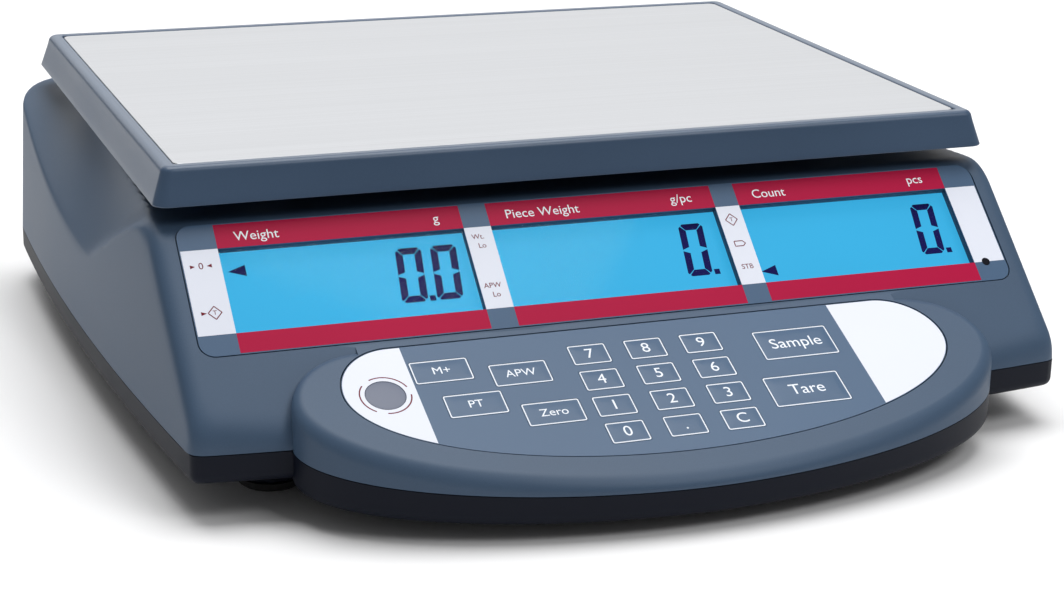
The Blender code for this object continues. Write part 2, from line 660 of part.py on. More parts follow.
def spider(mats):
    """Cast cross under the deck: a hub on the load cell's free end, four arms and four posts."""
    cast = block("spider", (2 * POST_X, ARM_W, SPIDER_T), (0, PLATFORM_Y), SPIDER_Z, mats["cast"])
    hub_x = (CELL_L - CELL_END) / 2
    low = CELL_BOTTOM_Z + CELL_H + CELL_TRAVEL + GAP
    join(cast, block("spider_hub", (CELL_END, CELL_W - 2, SPIDER_Z + 1 - low), (hub_x, PLATFORM_Y), low))
    arm = (ARM_W, 2 * POST_Y + ARM_W, SPIDER_T - 1)
    for side, x in (("left", -POST_X), ("right", POST_X)):
        join(cast, block(f"spider_arm_{side}", arm, (x, PLATFORM_Y), SPIDER_Z + 0.5, None, 3.0))
    post_top = SKIRT_Z + tray_underside() - 2 * GAP - CUSHION_T
    low = post_top + GAP
    high = low + CUSHION_T
    edge = 1.0                 # cushion's chamfer
    profile = [(CUSHION_R - edge, low), (CUSHION_R, low + edge), (CUSHION_R, high - edge),
               (CUSHION_R - edge, high)]
    for name, place in post_places().items():
        join(cast, prism(f"spider_post_{name}", circle(POST_R, place), SPIDER_Z + 2, post_top))
        turned(f"platform_cushion_{name}", profile, place, mats["rubber"])


# ---------------------------------------------------------------- platform

def tray_underside():
    """Height of the tray's underside above the skirt's lower edge."""
    return PLATFORM_H - PLATE_DROP - PLATE_T - GAP - TRAY_T


def platform_ring(inset, z):
    """A rectangle inside the skirt's lower edge by inset, at height z above it."""
    corner = max(PLATFORM_CORNER - inset / 2, 1.5)
    outline = rectangle(PLATFORM_W - 2 * inset, PLATFORM_D - 2 * inset, (0, PLATFORM_Y), corner)
    return [(x, y, SKIRT_Z + z) for x, y in outline]


def platform_frame(mat):
    """Tray with a leaning skirt, a seat for the steel plate and two ribs below."""
    soft = 1.4                 # rounding of the rim's outer edge
    top = PLATFORM_H
    rings = [platform_ring(0, 0), platform_ring(SKIRT_INSET * 0.8, top - 1.6 * soft),
             platform_ring(SKIRT_INSET, top - soft / 2), platform_ring(SKIRT_INSET + soft, top)]
    frame = solid("platform_frame", rings, mat)
    seat = SKIRT_INSET + RIM_W - GAP
    seat_low = top - PLATE_DROP - PLATE_T - GAP
    cut(frame, solid("plate_seat", [platform_ring(seat, seat_low), platform_ring(seat, 2 * top)]))
    under = tray_underside()
    inside = [platform_ring(SKIRT_WALL - 0.5, -top), platform_ring(SKIRT_WALL + SKIRT_INSET, under)]
    cut(frame, solid("skirt_inside", inside))
    length = PLATFORM_W - 2 * (SKIRT_INSET + 1)
    for side, offset in (("front", -1), ("rear", 1)):
        y = PLATFORM_Y + offset * POST_Y / 2
        join(frame, block(f"tray_rib_{side}", (length, 2.0, RIB_H + 1), (0, y), SKIRT_Z + under - RIB_H))


def platform_plate(mat):
    inset = SKIRT_INSET + RIM_W
    top = PLATFORM_H - PLATE_DROP
    solid("platform_plate", [platform_ring(inset, top - PLATE_T), platform_ring(inset, top)], mat)


# ---------------------------------------------------------------- battery, boards, sockets

def battery(mats):
    """Battery pack with two terminal lugs, and the door that closes its bay."""
    x, y = BATTERY_CENTRE
    low = BASE_BOTTOM_Z + GAP
    pack = block("battery", BATTERY, BATTERY_CENTRE, low, mats["battery"], 2.0)
    lug_x = x + BATTERY[0] / 2 - LUG_FROM_END
    for name, offset in (("plus", -LUG_PITCH / 2), ("minus", LUG_PITCH / 2)):
        join(pack, block(f"battery_lug_{name}", BATTERY_LUG, (lug_x, y + offset), low + BATTERY[2] - 1))
    size = (BATTERY[0] + 2 * DOOR_MARGIN, BATTERY[1] + 2 * DOOR_MARGIN, DOOR_T)
    low = BASE_BOTTOM_Z - GAP - DOOR_T
    door = block("battery_door", size, BATTERY_CENTRE, low, mats["base"], 3.0)
    length, width, depth = DOOR_GRIP
    for i in range(DOOR_GRIPS):
        grip_y = y + BATTERY[1] / 2 - DOOR_GRIP_EDGE - DOOR_GRIP_PITCH * i
        cut(door, block(f"door_grip_{i}", (length, width, 2 * depth), (x, grip_y), low - depth))


def main_board(mats):
    low = BASE_FLOOR_Z + MAIN_BOARD_UP
    block("main_board", (*MAIN_BOARD, BOARD_T), MAIN_BOARD_CENTRE, low, mats["board"], 2.0)


def power_inlet(mat):
    """Mains socket: a box with a blind recess that holds three flat pins."""
    x, z = INLET_CENTRE
    w, d, h = INLET
    face = BACK_Y - INLET_FRONT
    socket = block("power_inlet", (w, d, h), (x, face - d / 2), z - h / 2, mat, 1.5)
    hollow = (w - 2 * INLET_WALL, 2 * (d - INLET_WALL), h - 2 * INLET_WALL)
    cut(socket, block("inlet_hollow", hollow, (x, face), z - hollow[2] / 2))
    pin_y = INLET_INNER_Y + INLET_WALL + INLET_PIN[1] / 2 - 1
    for name, (dx, dz) in INLET_PINS.items():
        join(socket, block(f"inlet_pin_{name}", INLET_PIN, (x + dx, pin_y), z + dz - INLET_PIN[2] / 2))


def serial_port(mat):
    """Serial socket shell: a box with a blind recess."""
    x, z = SERIAL_CENTRE
    w, d, h = SERIAL
    face = BACK_Y - INLET_FRONT
    port = block("serial_port", (w, d, h), (x, face - d / 2), z - h / 2, mat, 1.5)
    hollow = (w - 2 * SERIAL_WALL, 2 * (d - SERIAL_BACK), h - 2 * SERIAL_WALL)
    cut(port, block("serial_hollow", hollow, (x, face), z - hollow[2] / 2))


def level_bubble(mat):
    high = DECK_Z + BUBBLE_PROUD
    profile = [(BUBBLE_R, high - BUBBLE_T), (BUBBLE_R, DECK_Z), (BUBBLE_R - 1, high)]
    turned("level_bubble", profile, BUBBLE_CENTRE, mat)


# ---------------------------------------------------------------- feet and screws

def foot_places():
    x = HALF_WIDTH - FOOT_FROM_SIDE
    rows = (("front", FRONT_Y + FOOT_FROM_FRONT), ("rear", BACK_Y - FOOT_FROM_BACK))
    return {f"{end}_{side}": (sx * x, y) for end, y in rows for side, sx in (("left", -1), ("right", 1))}


def screw_places():
    x = HALF_WIDTH - SCREW_MARGIN
    rows = (("front", FACET_Y + SCREW_BEHIND), ("rear", BACK_Y - SCREW_FROM_BACK))
    return {f"{end}_{side}": (sx * x, y) for end, y in rows for side, sx in (("left", -1), ("right", 1))}


def feet(mats):
    """Four feet, each a rubber pad under a knob whose stud turns in the base's boss."""
    low = PAD_T + GAP
    high = low + KNOB_T
    stud_top = BASE_BOTTOM_Z + BOSS_H - STUD_SHORT
    pad = [(FOOT_R - 1.5, 0), (FOOT_R - 0.5, 0.8), (FOOT_R - 0.5, PAD_T)]
    knob = [(FOOT_R - 0.8, low), (FOOT_R, low + 0.8), (FOOT_R, high - 0.8), (FOOT_R - 0.8, high)]
    for name, centre in foot_places().items():
        turned(f"foot_pad_{name}", pad, centre, mats["rubber"])
        made = turned(f"foot_knob_{name}", knob, centre, mats["base"], KNOB_RIDGES, 0.5)
        join(made, prism(f"foot_stud_{name}", circle(STUD_R, centre), low + 1, stud_top))


def screws(mat):
    low = BASE_BOTTOM_Z - GAP - SCREW_HEAD_T
    head_top = low + SCREW_HEAD_T
    profile = [(SCREW_HEAD_R - 0.6, low), (SCREW_HEAD_R, low + 0.6), (SCREW_HEAD_R, head_top),
               (SCREW_R, head_top), (SCREW_R, BASE_BOTTOM_Z + SCREW_L)]
    for name, centre in screw_places().items():
        turned(f"case_screw_{name}", profile, centre, mat)


# ---------------------------------------------------------------- whole scale

def materials():
    return {
        "cover": material("cover_plastic", (0.11, 0.16, 0.23), 0.45),
        "base": material("base_plastic", (0.008, 0.012, 0.025), 0.5),
        "platform": material("platform_plastic", (0.10, 0.15, 0.22), 0.4),
        "plate": material("plate_steel", (0.75, 0.76, 0.76), 0.3, 1.0),
        "lens": material("lens_print", (0.45, 0.03, 0.07), 0.3),
        "lcd": material("lcd_glass", (0.06, 0.48, 0.83), 0.2),
        "board": material("board_laminate", (0.02, 0.13, 0.06), 0.5),
        "overlay": material("overlay_print", (0.07, 0.12, 0.19), 0.4),
        "key": material("key_print", (0.09, 0.14, 0.22), 0.4),
        "power_key": material("power_key_print", (0.10, 0.11, 0.14), 0.4),
        "led": material("led_plastic", (0.01, 0.01, 0.015), 0.3),
        "aluminium": material("cell_aluminium", (0.72, 0.73, 0.74), 0.35, 1.0),
        "cast": material("cast_aluminium", (0.5, 0.51, 0.52), 0.55, 1.0),
        "steel": material("plated_steel", (0.6, 0.6, 0.58), 0.35, 1.0),
        "rubber": material("rubber", (0.02, 0.02, 0.02), 0.8),
        "battery": material("battery_case", (0.03, 0.03, 0.035), 0.5),
        "socket": material("socket_plastic", (0.015, 0.015, 0.015), 0.5),
        "vial": material("vial_acrylic", (0.45, 0.7, 0.12), 0.15),
    }


def main():
    clear_scene()
    mats = materials()
    base_tub(mats["base"])
    top_cover(mats["cover"])
    display(mats)
    keypad(mats)
    load_cell(mats)
    spider(mats)
    platform_frame(mats["platform"])
    platform_plate(mats["plate"])
    battery(mats)
    main_board(mats)
    power_inlet(mats["socket"])
    serial_port(mats["steel"])
    level_bubble(mats["vial"])
    feet(mats)
    screws(mats["steel"])


main()
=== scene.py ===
"""Looks of the bench counting scale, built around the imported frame. Sizes are in millimetres."""
import math

import bmesh
import bpy
import numpy as np
from mathutils import Matrix, Vector


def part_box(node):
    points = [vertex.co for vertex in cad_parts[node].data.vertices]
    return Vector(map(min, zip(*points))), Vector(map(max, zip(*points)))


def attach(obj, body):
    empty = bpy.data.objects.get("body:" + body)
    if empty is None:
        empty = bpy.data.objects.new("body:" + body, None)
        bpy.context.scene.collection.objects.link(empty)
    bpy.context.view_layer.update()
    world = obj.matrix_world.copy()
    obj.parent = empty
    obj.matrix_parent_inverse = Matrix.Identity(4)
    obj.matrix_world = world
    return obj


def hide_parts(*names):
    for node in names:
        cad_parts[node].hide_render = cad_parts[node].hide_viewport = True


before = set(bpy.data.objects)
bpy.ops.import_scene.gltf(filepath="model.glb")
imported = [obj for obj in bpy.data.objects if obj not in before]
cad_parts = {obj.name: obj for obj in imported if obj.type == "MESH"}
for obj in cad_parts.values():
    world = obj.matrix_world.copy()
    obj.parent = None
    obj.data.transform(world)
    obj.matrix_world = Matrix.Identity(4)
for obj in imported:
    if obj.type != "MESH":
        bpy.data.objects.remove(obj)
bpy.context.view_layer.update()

MM = 0.001


def corners(node):
    low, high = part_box(node)
    return low / MM, high / MM


def plan_middle(node):
    low, high = corners(node)
    return (low.x + high.x) / 2, (low.y + high.y) / 2


def four_places(prefix):
    """(end_side, plan position) of the four nodes called prefix_end_side."""
    names = [f"{end}_{side}" for end in ("front", "rear") for side in ("left", "right")]
    return [(name, plan_middle(f"{prefix}_{name}")) for name in names]


# ---------------------------------------------------------------- sizes shared with the frame

COVER_LOW, COVER_HIGH = corners("top_cover")

FRAME_LOW, FRAME_HIGH = corners("platform_frame")
PLATE_LOW, PLATE_HIGH = corners("platform_plate")

GAP = 0.3
PARTING_Z = 23.0
DECK_Z = COVER_HIGH.z
BACK_Y = COVER_HIGH.y
HALF_WIDTH = COVER_HIGH.x
WIDEST_Y = 82.0
SIDE_BOW = 2.75e-4
BACK_CORNER = 25.0
FRONT_Y = -128.3
FRONT_BOW = 4.49e-4
FRONT_PULL = 6.0
BACK_PULL = 2.5
EDGE_SOFT = 5.5
FRONT_SOFT = 5.0
COVER_WALL = 3.0
HOLLOW_DROP = 8.0
CORNER_Y = BACK_Y - BACK_CORNER
BASE_WALL = 2.5
BASE_BOTTOM_Z = 13.0
BASE_CORNER = 3.5
BOSS_R, BOSS_TOP_Z = 8.0, 28.0
FOOT_BORE_R = 4.2
SCREW_BORE_R = 1.8
POST_HOLE_R = 9.0
SEAT_MARGIN = 0.45

FACET_TILT = math.radians(41.2)
FACET_Y, FACET_Z = -62.1, 79.8
KEYPAD_TILT = math.radians(22.93)
KEYPAD_Y, KEYPAD_Z = -61.5, 62.9

LIP_HALF_W = 121.0
LIP_DEPTH = 47.0
LIP_Y = COVER_LOW.y + LIP_DEPTH
LIP_BACK_HALF_W = 95.0
LIP_BACK_DEPTH = 21.5
LIP_ROOT = 28.0
LIP_FULLNESS = 1.9
LIP_PARTING_Y = -116.5
LIP_PARTING_SLOPE = 0.163
LIP_BOTTOM_Z = 10.3
LIP_BOTTOM_SLOPE = 0.107

SCOOP_FRONT_Y = -57.0
SCOOP_FRONT_FALL = 0.468
SCOOP_LOW_Z = 50.1
SCOOP_LOW_Y = 8.0
SCOOP_RISE = 0.0012
SCOOP_DECK_X = 148.5
SCOOP_FLARE = 0.055
SCOOP_SAG = 1.6
SCOOP_END_LEAN = 0.45
SCOOP_END_BULGE = 2.0
SCOOP_TIP_Y = 8.0
SCOOP_BLEND = 5.0
SCOOP_EDGE_SOFT = 1.5

EDGE_STEPS = (0, 0.5, 1.1, 1.8, 2.7, 3.8, 5.2, 7.0)
SCOOP_CELL, SCOOP_BAND, SCOOP_MARGIN = 0.9, 34.0, 6.0
DECK_CELL = 9.0
FRONT_CELL = 6.0
REAR_CELL = 1.5
CORNER_CELLS = 14

LENS_W = 287.6
LENS_TOP_V, LENS_BOTTOM_V = 0.6, 48.9
LENS_CORNER = 5.0
LENS_T = 0.8
LENS_BORDER = 0.35
WINDOW_TOP_V, WINDOW_BOTTOM_V = 9.9, 41.3
WINDOWS = {"weight": (-131.4, -48.9), "piece_weight": (-39.5, 42.1), "count": (51.0, 131.6)}
LED_U, LED_V, LED_R = 136.1, 41.3, 1.4
LED_BORE_R = LED_R + 0.15
LCD_DEPTH = 4.5
LCD_T = 6.0
LCD_MARGIN = 1.6
FILM_MARGIN = 1.2
DIGIT_W, DIGIT_H = 8.9, 20.7
DIGIT_GAP = 3.1
DIGIT_FOOT = 7.6
DIGIT_SLANT = 0.10
SEGMENT_T = 2.45
SEGMENT_GAP = 0.28
SEGMENT_PRINT = 0.05
PRINT_T = 0.03
PRINT_SINK = 0.02
LETTER_T = 0.02
BAR_TOP_V, BAR_BOTTOM_V = 1.0, 48.5
TITLE_SIZE = 4.9
SIGN_SIZE = 2.7
SIGN_LINE = 0.32

OVERLAY_TOP_V = 44.0
OVERLAY_HALF_W = 104.5
OVERLAY_SHOULDER = 19.0
OVERLAY_FRONT = 40.5
OVERLAY_BELOW = 0.1
OVERLAY_T = 0.8
WHITE_LEFT_U, WHITE_RIGHT_U = -81.3, 69.3
KEY_LOW = -0.75
KEY_T = 0.9
KEY_FACE = KEY_LOW + KEY_T - 0.22
KEY_CORNER = 0.8
KEY_HOLE_GAP = 0.12
LABEL_LIFT = 0.16
NUMBER_KEY = (13.1, 9.2)
NUMBER_FIRST = (-20.75, 56.1)
NUMBER_PITCH = (19.6, 12.15)
NUMBER_ROWS = (("7", "8", "9"), ("4", "5", "6"), ("1", "2", "3"), ("0", "point", "clear"))
FUNCTION_KEY = (19.3, 10.2)
FUNCTION_KEYS = {"memory": (-70.95, 56.7), "unit_weight": (-46.0, 61.5), "preset_tare": (-64.6, 73.2),
                 "zero": (-41.15, 80.55)}
LARGE_KEY = (26.9, 13.9)
LARGE_KEYS = {"sample": (50.8, 60.8), "tare": (45.45, 82.7)}
LABELS = {"memory": "M+", "unit_weight": "APW", "preset_tare": "PT", "zero": "Zero", "sample": "Sample",
          "tare": "Tare", "point": ".", "clear": "C"}
POWER_KEY = (-91.5, 65.0)
POWER_KEY_R = 6.4
POWER_ARC = (7.9, 8.35)

PLATFORM_WALL = 2.5
PLATFORM_CORNER = 5.0
PLATFORM_SOFT = 2.4
SKIRT_INSET = 3.7
TRAY_FLOOR_T = 2.4
RIB_T, RIB_DEPTH = 1.8, 2.4
RIB_PITCH_X, RIB_PITCH_Y = 31.0, 27.0
CUSHION_SEAT_R, CUSHION_POCKET_R = 11.0, 9.2
PLATE_CORNER, PLATE_SOFT = 3.0, 0.45

FACET = Matrix.Translation((0, FACET_Y * MM, FACET_Z * MM)) @ Matrix.Rotation(FACET_TILT, 4, "X")
KEYPAD = Matrix.Translation((0, KEYPAD_Y * MM, KEYPAD_Z * MM)) @ Matrix.Rotation(KEYPAD_TILT, 4, "X")


# ---------------------------------------------------------------- material nodes

def nodes_of(name):
    made = bpy.data.materials.new(name)
    made.use_nodes = True
    tree = made.node_tree
    return made, tree, tree.nodes["Principled BSDF"]


def add(tree, kind, **values):
    node = tree.nodes.new(kind)
    for key, value in values.items():
        setattr(node, key, value)
    return node


def shaded(colour, share):
    return tuple(min(c * share, 1) for c in colour)


def place(tree, scale=(1, 1, 1)):
    where = add(tree, "ShaderNodeTexCoord")
    mapping = add(tree, "ShaderNodeMapping")
    mapping.inputs["Scale"].default_value = scale
    tree.links.new(where.outputs["Object"], mapping.inputs["Vector"])
    return mapping.outputs["Vector"]


def noise(tree, vector, scale, detail=2.0, roughness=0.5):
    node = add(tree, "ShaderNodeTexNoise")
    node.inputs["Scale"].default_value = scale
    node.inputs["Detail"].default_value = detail
    node.inputs["Roughness"].default_value = roughness
    tree.links.new(vector, node.inputs["Vector"])
    return node.outputs["Fac"]


def ramp(tree, value, stops):
    node = add(tree, "ShaderNodeValToRGB")
    points = node.color_ramp.elements
    while len(points) < len(stops):
        points.new(0.5)
    for point, (at, colour) in zip(points, stops):
        point.position = at
        point.color = (*colour, 1.0)
    tree.links.new(value, node.inputs["Fac"])
    return node.outputs["Color"]


def grey_range(tree, value, low, high):
    node = add(tree, "ShaderNodeMapRange")
    node.inputs["To Min"].default_value = low
    node.inputs["To Max"].default_value = high
    tree.links.new(value, node.inputs["Value"])
    return node.outputs["Result"]


def bump(tree, shader, height, strength, distance):
    node = add(tree, "ShaderNodeBump")
    node.inputs["Strength"].default_value = strength
    node.inputs["Distance"].default_value = distance
    tree.links.new(height, node.inputs["Height"])
    tree.links.new(node.outputs["Normal"], shader.inputs["Normal"])


def moulded(name, colour, rough, grain=2600.0, strength=0.35, specular=0.5):
    """Spark-textured moulded plastic: fine bump, and slow changes of tone and gloss."""
    made, tree, shader = nodes_of(name)
    vector = place(tree)
    slow = noise(tree, vector, 14.0, 3.0)
    fine = noise(tree, vector, grain, 2.0, 0.6)
    mixed = add(tree, "ShaderNodeMix", data_type="RGBA", blend_type="OVERLAY")
    mixed.inputs[0].default_value = 0.10
    tones = ramp(tree, slow, [(0.3, shaded(colour, 0.94)), (0.7, shaded(colour, 1.06))])
    tree.links.new(tones, mixed.inputs[6])
    sparks = ramp(tree, fine, [(0.35, (0.3, 0.3, 0.3)), (0.65, (0.7, 0.7, 0.7))])
    tree.links.new(sparks, mixed.inputs[7])
    tree.links.new(mixed.outputs[2], shader.inputs["Base Color"])
    tree.links.new(grey_range(tree, slow, *rough), shader.inputs["Roughness"])
    shader.inputs["Specular IOR Level"].default_value = specular
    bump(tree, shader, fine, strength, 0.00004)
    return made


def brushed(name, colour, rough, along=(3, 900, 900)):
    """Brushed metal, with the grain along X unless along says otherwise."""
    made, tree, shader = nodes_of(name)
    vector = place(tree, along)
    streaks = noise(tree, vector, 1.0, 4.0, 0.65)
    broad = noise(tree, place(tree, (1.5, 60, 60)), 1.0, 3.0)
    tones = ramp(tree, streaks, [(0.3, shaded(colour, 0.93)), (0.7, shaded(colour, 1.05))])
    tree.links.new(tones, shader.inputs["Base Color"])
    joined = add(tree, "ShaderNodeMath", operation="ADD")
    tree.links.new(streaks, joined.inputs[0])
    tree.links.new(broad, joined.inputs[1])
    spread = add(tree, "ShaderNodeMapRange")
    spread.inputs["From Max"].default_value = 2.0
    spread.inputs["To Min"].default_value, spread.inputs["To Max"].default_value = rough
    tree.links.new(joined.outputs[0], spread.inputs["Value"])
    tree.links.new(spread.outputs["Result"], shader.inputs["Roughness"])
    shader.inputs["Metallic"].default_value = 1.0
    bump(tree, shader, streaks, 0.12, 0.00002)
    return made


def printed(name, colour, rough=0.36, specular=0.22):
    """Ink under a thin film: even colour with a faint film texture."""
    made, tree, shader = nodes_of(name)
    vector = place(tree)
    fine = noise(tree, vector, 1800.0, 2.0)
    slow = noise(tree, vector, 9.0, 2.0)
    tones = ramp(tree, slow, [(0.3, shaded(colour, 0.96)), (0.7, shaded(colour, 1.04))])
    tree.links.new(tones, shader.inputs["Base Color"])
    tree.links.new(grey_range(tree, fine, rough - 0.04, rough + 0.04), shader.inputs["Roughness"])
    shader.inputs["Specular IOR Level"].default_value = specular
    bump(tree, shader, fine, 0.12, 0.00002)
    return made


def backlit(name, colour, glow):
    """Liquid crystal glass lit from behind, a little uneven as a side-lit panel is."""
    made, tree, shader = nodes_of(name)
    vector = place(tree)
    slow = noise(tree, vector, 18.0, 2.0)
    tint = ramp(tree, slow, [(0.2, shaded(colour, 0.97)), (0.8, shaded(colour, 1.03))])
    dark = add(tree, "ShaderNodeMix", data_type="RGBA")
    dark.inputs[0].default_value = 0.85
    tree.links.new(tint, dark.inputs[6])
    dark.inputs[7].default_value = (0.002, 0.012, 0.024, 1)
    tree.links.new(dark.outputs[2], shader.inputs["Base Color"])
    tree.links.new(tint, shader.inputs["Emission Color"])
    shader.inputs["Emission Strength"].default_value = glow
    shader.inputs["Roughness"].default_value = 0.35
    shader.inputs["Specular IOR Level"].default_value = 0.05
    return made


def clear(name, colour, alpha):
    """Thin clear film or acrylic."""
    made, tree, shader = nodes_of(name)
    fine = noise(tree, place(tree), 300.0, 2.0)
    shader.inputs["Base Color"].default_value = (*colour, 1)
    tree.links.new(grey_range(tree, fine, 0.04, 0.09), shader.inputs["Roughness"])
    shader.inputs["Alpha"].default_value = alpha
    return made


MATS = {
    "cover": moulded("cover_abs", (0.054, 0.092, 0.152), (0.42, 0.50), specular=0.26),
    "base": moulded("base_abs", (0.0022, 0.0042, 0.012), (0.45, 0.55), specular=0.16),
    "platform": moulded("platform_abs", (0.050, 0.086, 0.146), (0.28, 0.36), strength=0.2, specular=0.40),
    "steel": brushed("plate_stainless", (0.47, 0.48, 0.50), (0.32, 0.42)),
    "overlay": printed("overlay_film", (0.062, 0.115, 0.20)),
    "white": printed("white_ink", (0.74, 0.77, 0.86)),
    "red": printed("red_ink", (0.42, 0.006, 0.050), specular=0.08),
    "key": printed("key_film", (0.062, 0.115, 0.20), 0.34),
    "ink": printed("white_line_ink", (0.82, 0.86, 0.92)),
    "maroon": printed("maroon_ink", (0.16, 0.004, 0.02), specular=0.1),
    "power": printed("power_key_film", (0.15, 0.17, 0.23)),
    "segment": printed("segment_dye", (0.009, 0.008, 0.10), 0.4, specular=0.03),
    "lcd": backlit("lcd_backlight", (0.045, 0.46, 0.81), 0.92),
    "clear": clear("window_film", (0.01, 0.012, 0.02), 0.05),
    "led": printed("led_dome", (0.006, 0.006, 0.010), 0.2),
    # Near-black painted shade for the walls of the lens and keypad seats, standing in for the shadow in the
    # gap round their edges.
    "groove_shade": printed("groove_shadow", (0.01, 0.015, 0.03), 0.6),
    "rubber": moulded("foot_rubber", (0.02, 0.02, 0.021), (0.7, 0.85), strength=0.5),
    "board": moulded("board_mask", (0.015, 0.12, 0.05), (0.3, 0.4), grain=900.0),
    "aluminium": brushed("cell_alloy", (0.72, 0.73, 0.74), (0.3, 0.45), (300, 300, 300)),
    "cast": moulded("cast_alloy", (0.42, 0.43, 0.45), (0.45, 0.6), grain=1500.0, strength=0.6, specular=0.8),
    "plated": brushed("zinc_plating", (0.62, 0.62, 0.58), (0.25, 0.4), (400, 400, 400)),
    "battery": moulded("battery_abs", (0.03, 0.03, 0.034), (0.4, 0.5)),
    "socket": moulded("socket_abs", (0.014, 0.014, 0.015), (0.35, 0.45)),
    "vial": clear("vial_acrylic", (0.45, 0.75, 0.1), 0.55),
}


# ---------------------------------------------------------------- mesh building

def link_object(name, data):
    made = bpy.data.objects.new(name, data)
    bpy.context.scene.collection.objects.link(made)
    return made


def piece(name, verts, faces, mats, onto=None):
    """A mesh object from points in millimetres; onto carries points on a sloped face into place."""
    mesh = bpy.data.meshes.new(name)
    mesh.from_pydata([tuple(Vector(v) * MM) for v in verts], [], faces)
    for mat in mats:
        mesh.materials.append(mat)
    if onto:
        mesh.transform(onto)
    mesh.update()
    return link_object(name, mesh)


def smooth(obj, angle=35.0, weighted=False):
    obj.data.shade_smooth()
    obj.data.set_sharp_from_angle(angle=math.radians(angle))
    if weighted:
        step = obj.modifiers.new("weighted", "WEIGHTED_NORMAL")
        step.keep_sharp = True
        step.weight = 80


def loft(name, rings, mats, onto=None):
    """A closed skin through rings of points, run anticlockwise from the lowest ring up."""
    count = len(rings[0])
    verts = [p for ring in rings for p in ring]
    faces = []
    for k in range(len(rings) - 1):
        for i in range(count):
            j = (i + 1) % count
            faces.append((k * count + i, k * count + j, (k + 1) * count + j, (k + 1) * count + i))
    faces.append(tuple(range(count - 1, -1, -1)))
    top = (len(rings) - 1) * count
    faces.append(tuple(range(top, top + count)))
    return piece(name, verts, faces, mats, onto)


def arc_steps(radius, count, start=0.0):
    """(inset, rise) pairs along a quarter round, from start degrees off the wall to the face."""
    made = []
    for i in range(count + 1):
        angle = math.radians(start + (90.0 - start) * i / count)
        made.append((radius * (1 - math.cos(angle)), radius * math.sin(angle)))
    return made


def rounded_outline(turns, steps):
    """An outline through (x, y, radius) turns, each rounded where its radius isn't 0."""
    points = []
    for i, (x, y, radius) in enumerate(turns):
        here = Vector((x, y))
        if radius <= 0:
            points.append((x, y))
            continue
        back = (Vector(turns[i - 1][:2]) - here).normalized()
        ahead = (Vector(turns[(i + 1) % len(turns)][:2]) - here).normalized()
        half = back.angle(ahead) / 2
        centre = here + (back + ahead).normalized() * radius / math.sin(half)
        first = here + back * radius / math.tan(half) - centre
        for step in range(steps + 1):
            spun = first.copy()
            spun.rotate(Matrix.Rotation((math.pi - 2 * half) * step / steps, 2))
            points.append(tuple(centre + spun))
    return points


def rectangle(width, height, centre=(0, 0), corner=0.0, steps=8):
    x, y = centre
    w, h = width / 2, height / 2
    return rounded_outline([(x - w, y - h, corner), (x + w, y - h, corner), (x + w, y + h, corner),
                            (x - w, y + h, corner)], steps)


def circle(radius, centre=(0, 0), steps=48):
    angles = [math.tau * i / steps for i in range(steps)]
    return [(centre[0] + radius * math.cos(a), centre[1] + radius * math.sin(a)) for a in angles]


def fixed_turn(outline):
    """The outline, anticlockwise."""
    area = sum(a[0] * b[1] - b[0] * a[1] for a, b in zip(outline, outline[1:] + outline[:1]))
    return outline if area > 0 else outline[::-1]


def slab(name, outline, low, high, mats, onto=None):
    """A plate on a flat outline."""
    return loft(name, [[(*p, z) for p in outline] for z in (low, high)], mats, onto)


def box_between(name, low, high, mats):
    x0, y0, z0 = low
    x1, y1, z1 = high
    return slab(name, [(x0, y0), (x1, y0), (x1, y1), (x0, y1)], z0, z1, mats)


def apply_modifiers(obj):
    graph = bpy.context.evaluated_depsgraph_get()
    mesh = bpy.data.meshes.new_from_object(obj.evaluated_get(graph))
    old = obj.data
    obj.modifiers.clear()
    obj.data = mesh
    bpy.data.meshes.remove(old)


def combine(target, cutters, operation):
    """Booleans target with each cutter in turn, and removes the cutters."""
    for cutter in cutters:
        step = target.modifiers.new(cutter.name, "BOOLEAN")
        step.operation = operation
        step.solver = "EXACT"
        step.object = cutter
    apply_modifiers(target)
    for cutter in cutters:
        bpy.data.objects.remove(cutter)


def join_meshes(name, objects):
    """One object from several, keeping each one's materials."""
    mesh = bmesh.new()
    mats = []
    for obj in objects:
        start = len(mesh.faces)
        mesh.from_mesh(obj.data)
        mesh.faces.ensure_lookup_table()
        slots = []
        for mat in obj.data.materials:
            if mat not in mats:
                mats.append(mat)
            slots.append(mats.index(mat))
        for face in mesh.faces[start:]:
            face.material_index = slots[face.material_index]
    data = bpy.data.meshes.new(name)
    mesh.to_mesh(data)
    mesh.free()
    for mat in mats:
        data.materials.append(mat)
    for obj in objects:
        bpy.data.objects.remove(obj)
    return link_object(name, data)


def fit_to(obj, body, slot, *nodes):
    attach(obj, body)
    if nodes:
        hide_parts(*nodes)


# ---------------------------------------------------------------- housing form

def half_width(y):
    return HALF_WIDTH - SIDE_BOW * (y - WIDEST_Y) ** 2


def front_line(x):
    return FRONT_Y + FRONT_BOW * x * x


FRONT_CORNER_X = half_width(front_line(half_width(FRONT_Y)))
FRONT_CORNER_Y = front_line(FRONT_CORNER_X)


def facet_z(y):
    return FACET_Z + (y - FACET_Y) * math.tan(FACET_TILT)


def flank_pull(y, z):
    share = (y - FRONT_Y) / (BACK_Y - FRONT_Y)
    return (FRONT_PULL + (BACK_PULL - FRONT_PULL) * share) * (z - PARTING_Z) / (DECK_Z - PARTING_Z)


def soft_max(a, b, k):
    h = np.maximum(k - np.abs(a - b), 0) / k
    return np.maximum(a, b) + h * h * k / 4


def soft_min(a, b, k):
    return -soft_max(-a, -b, k)


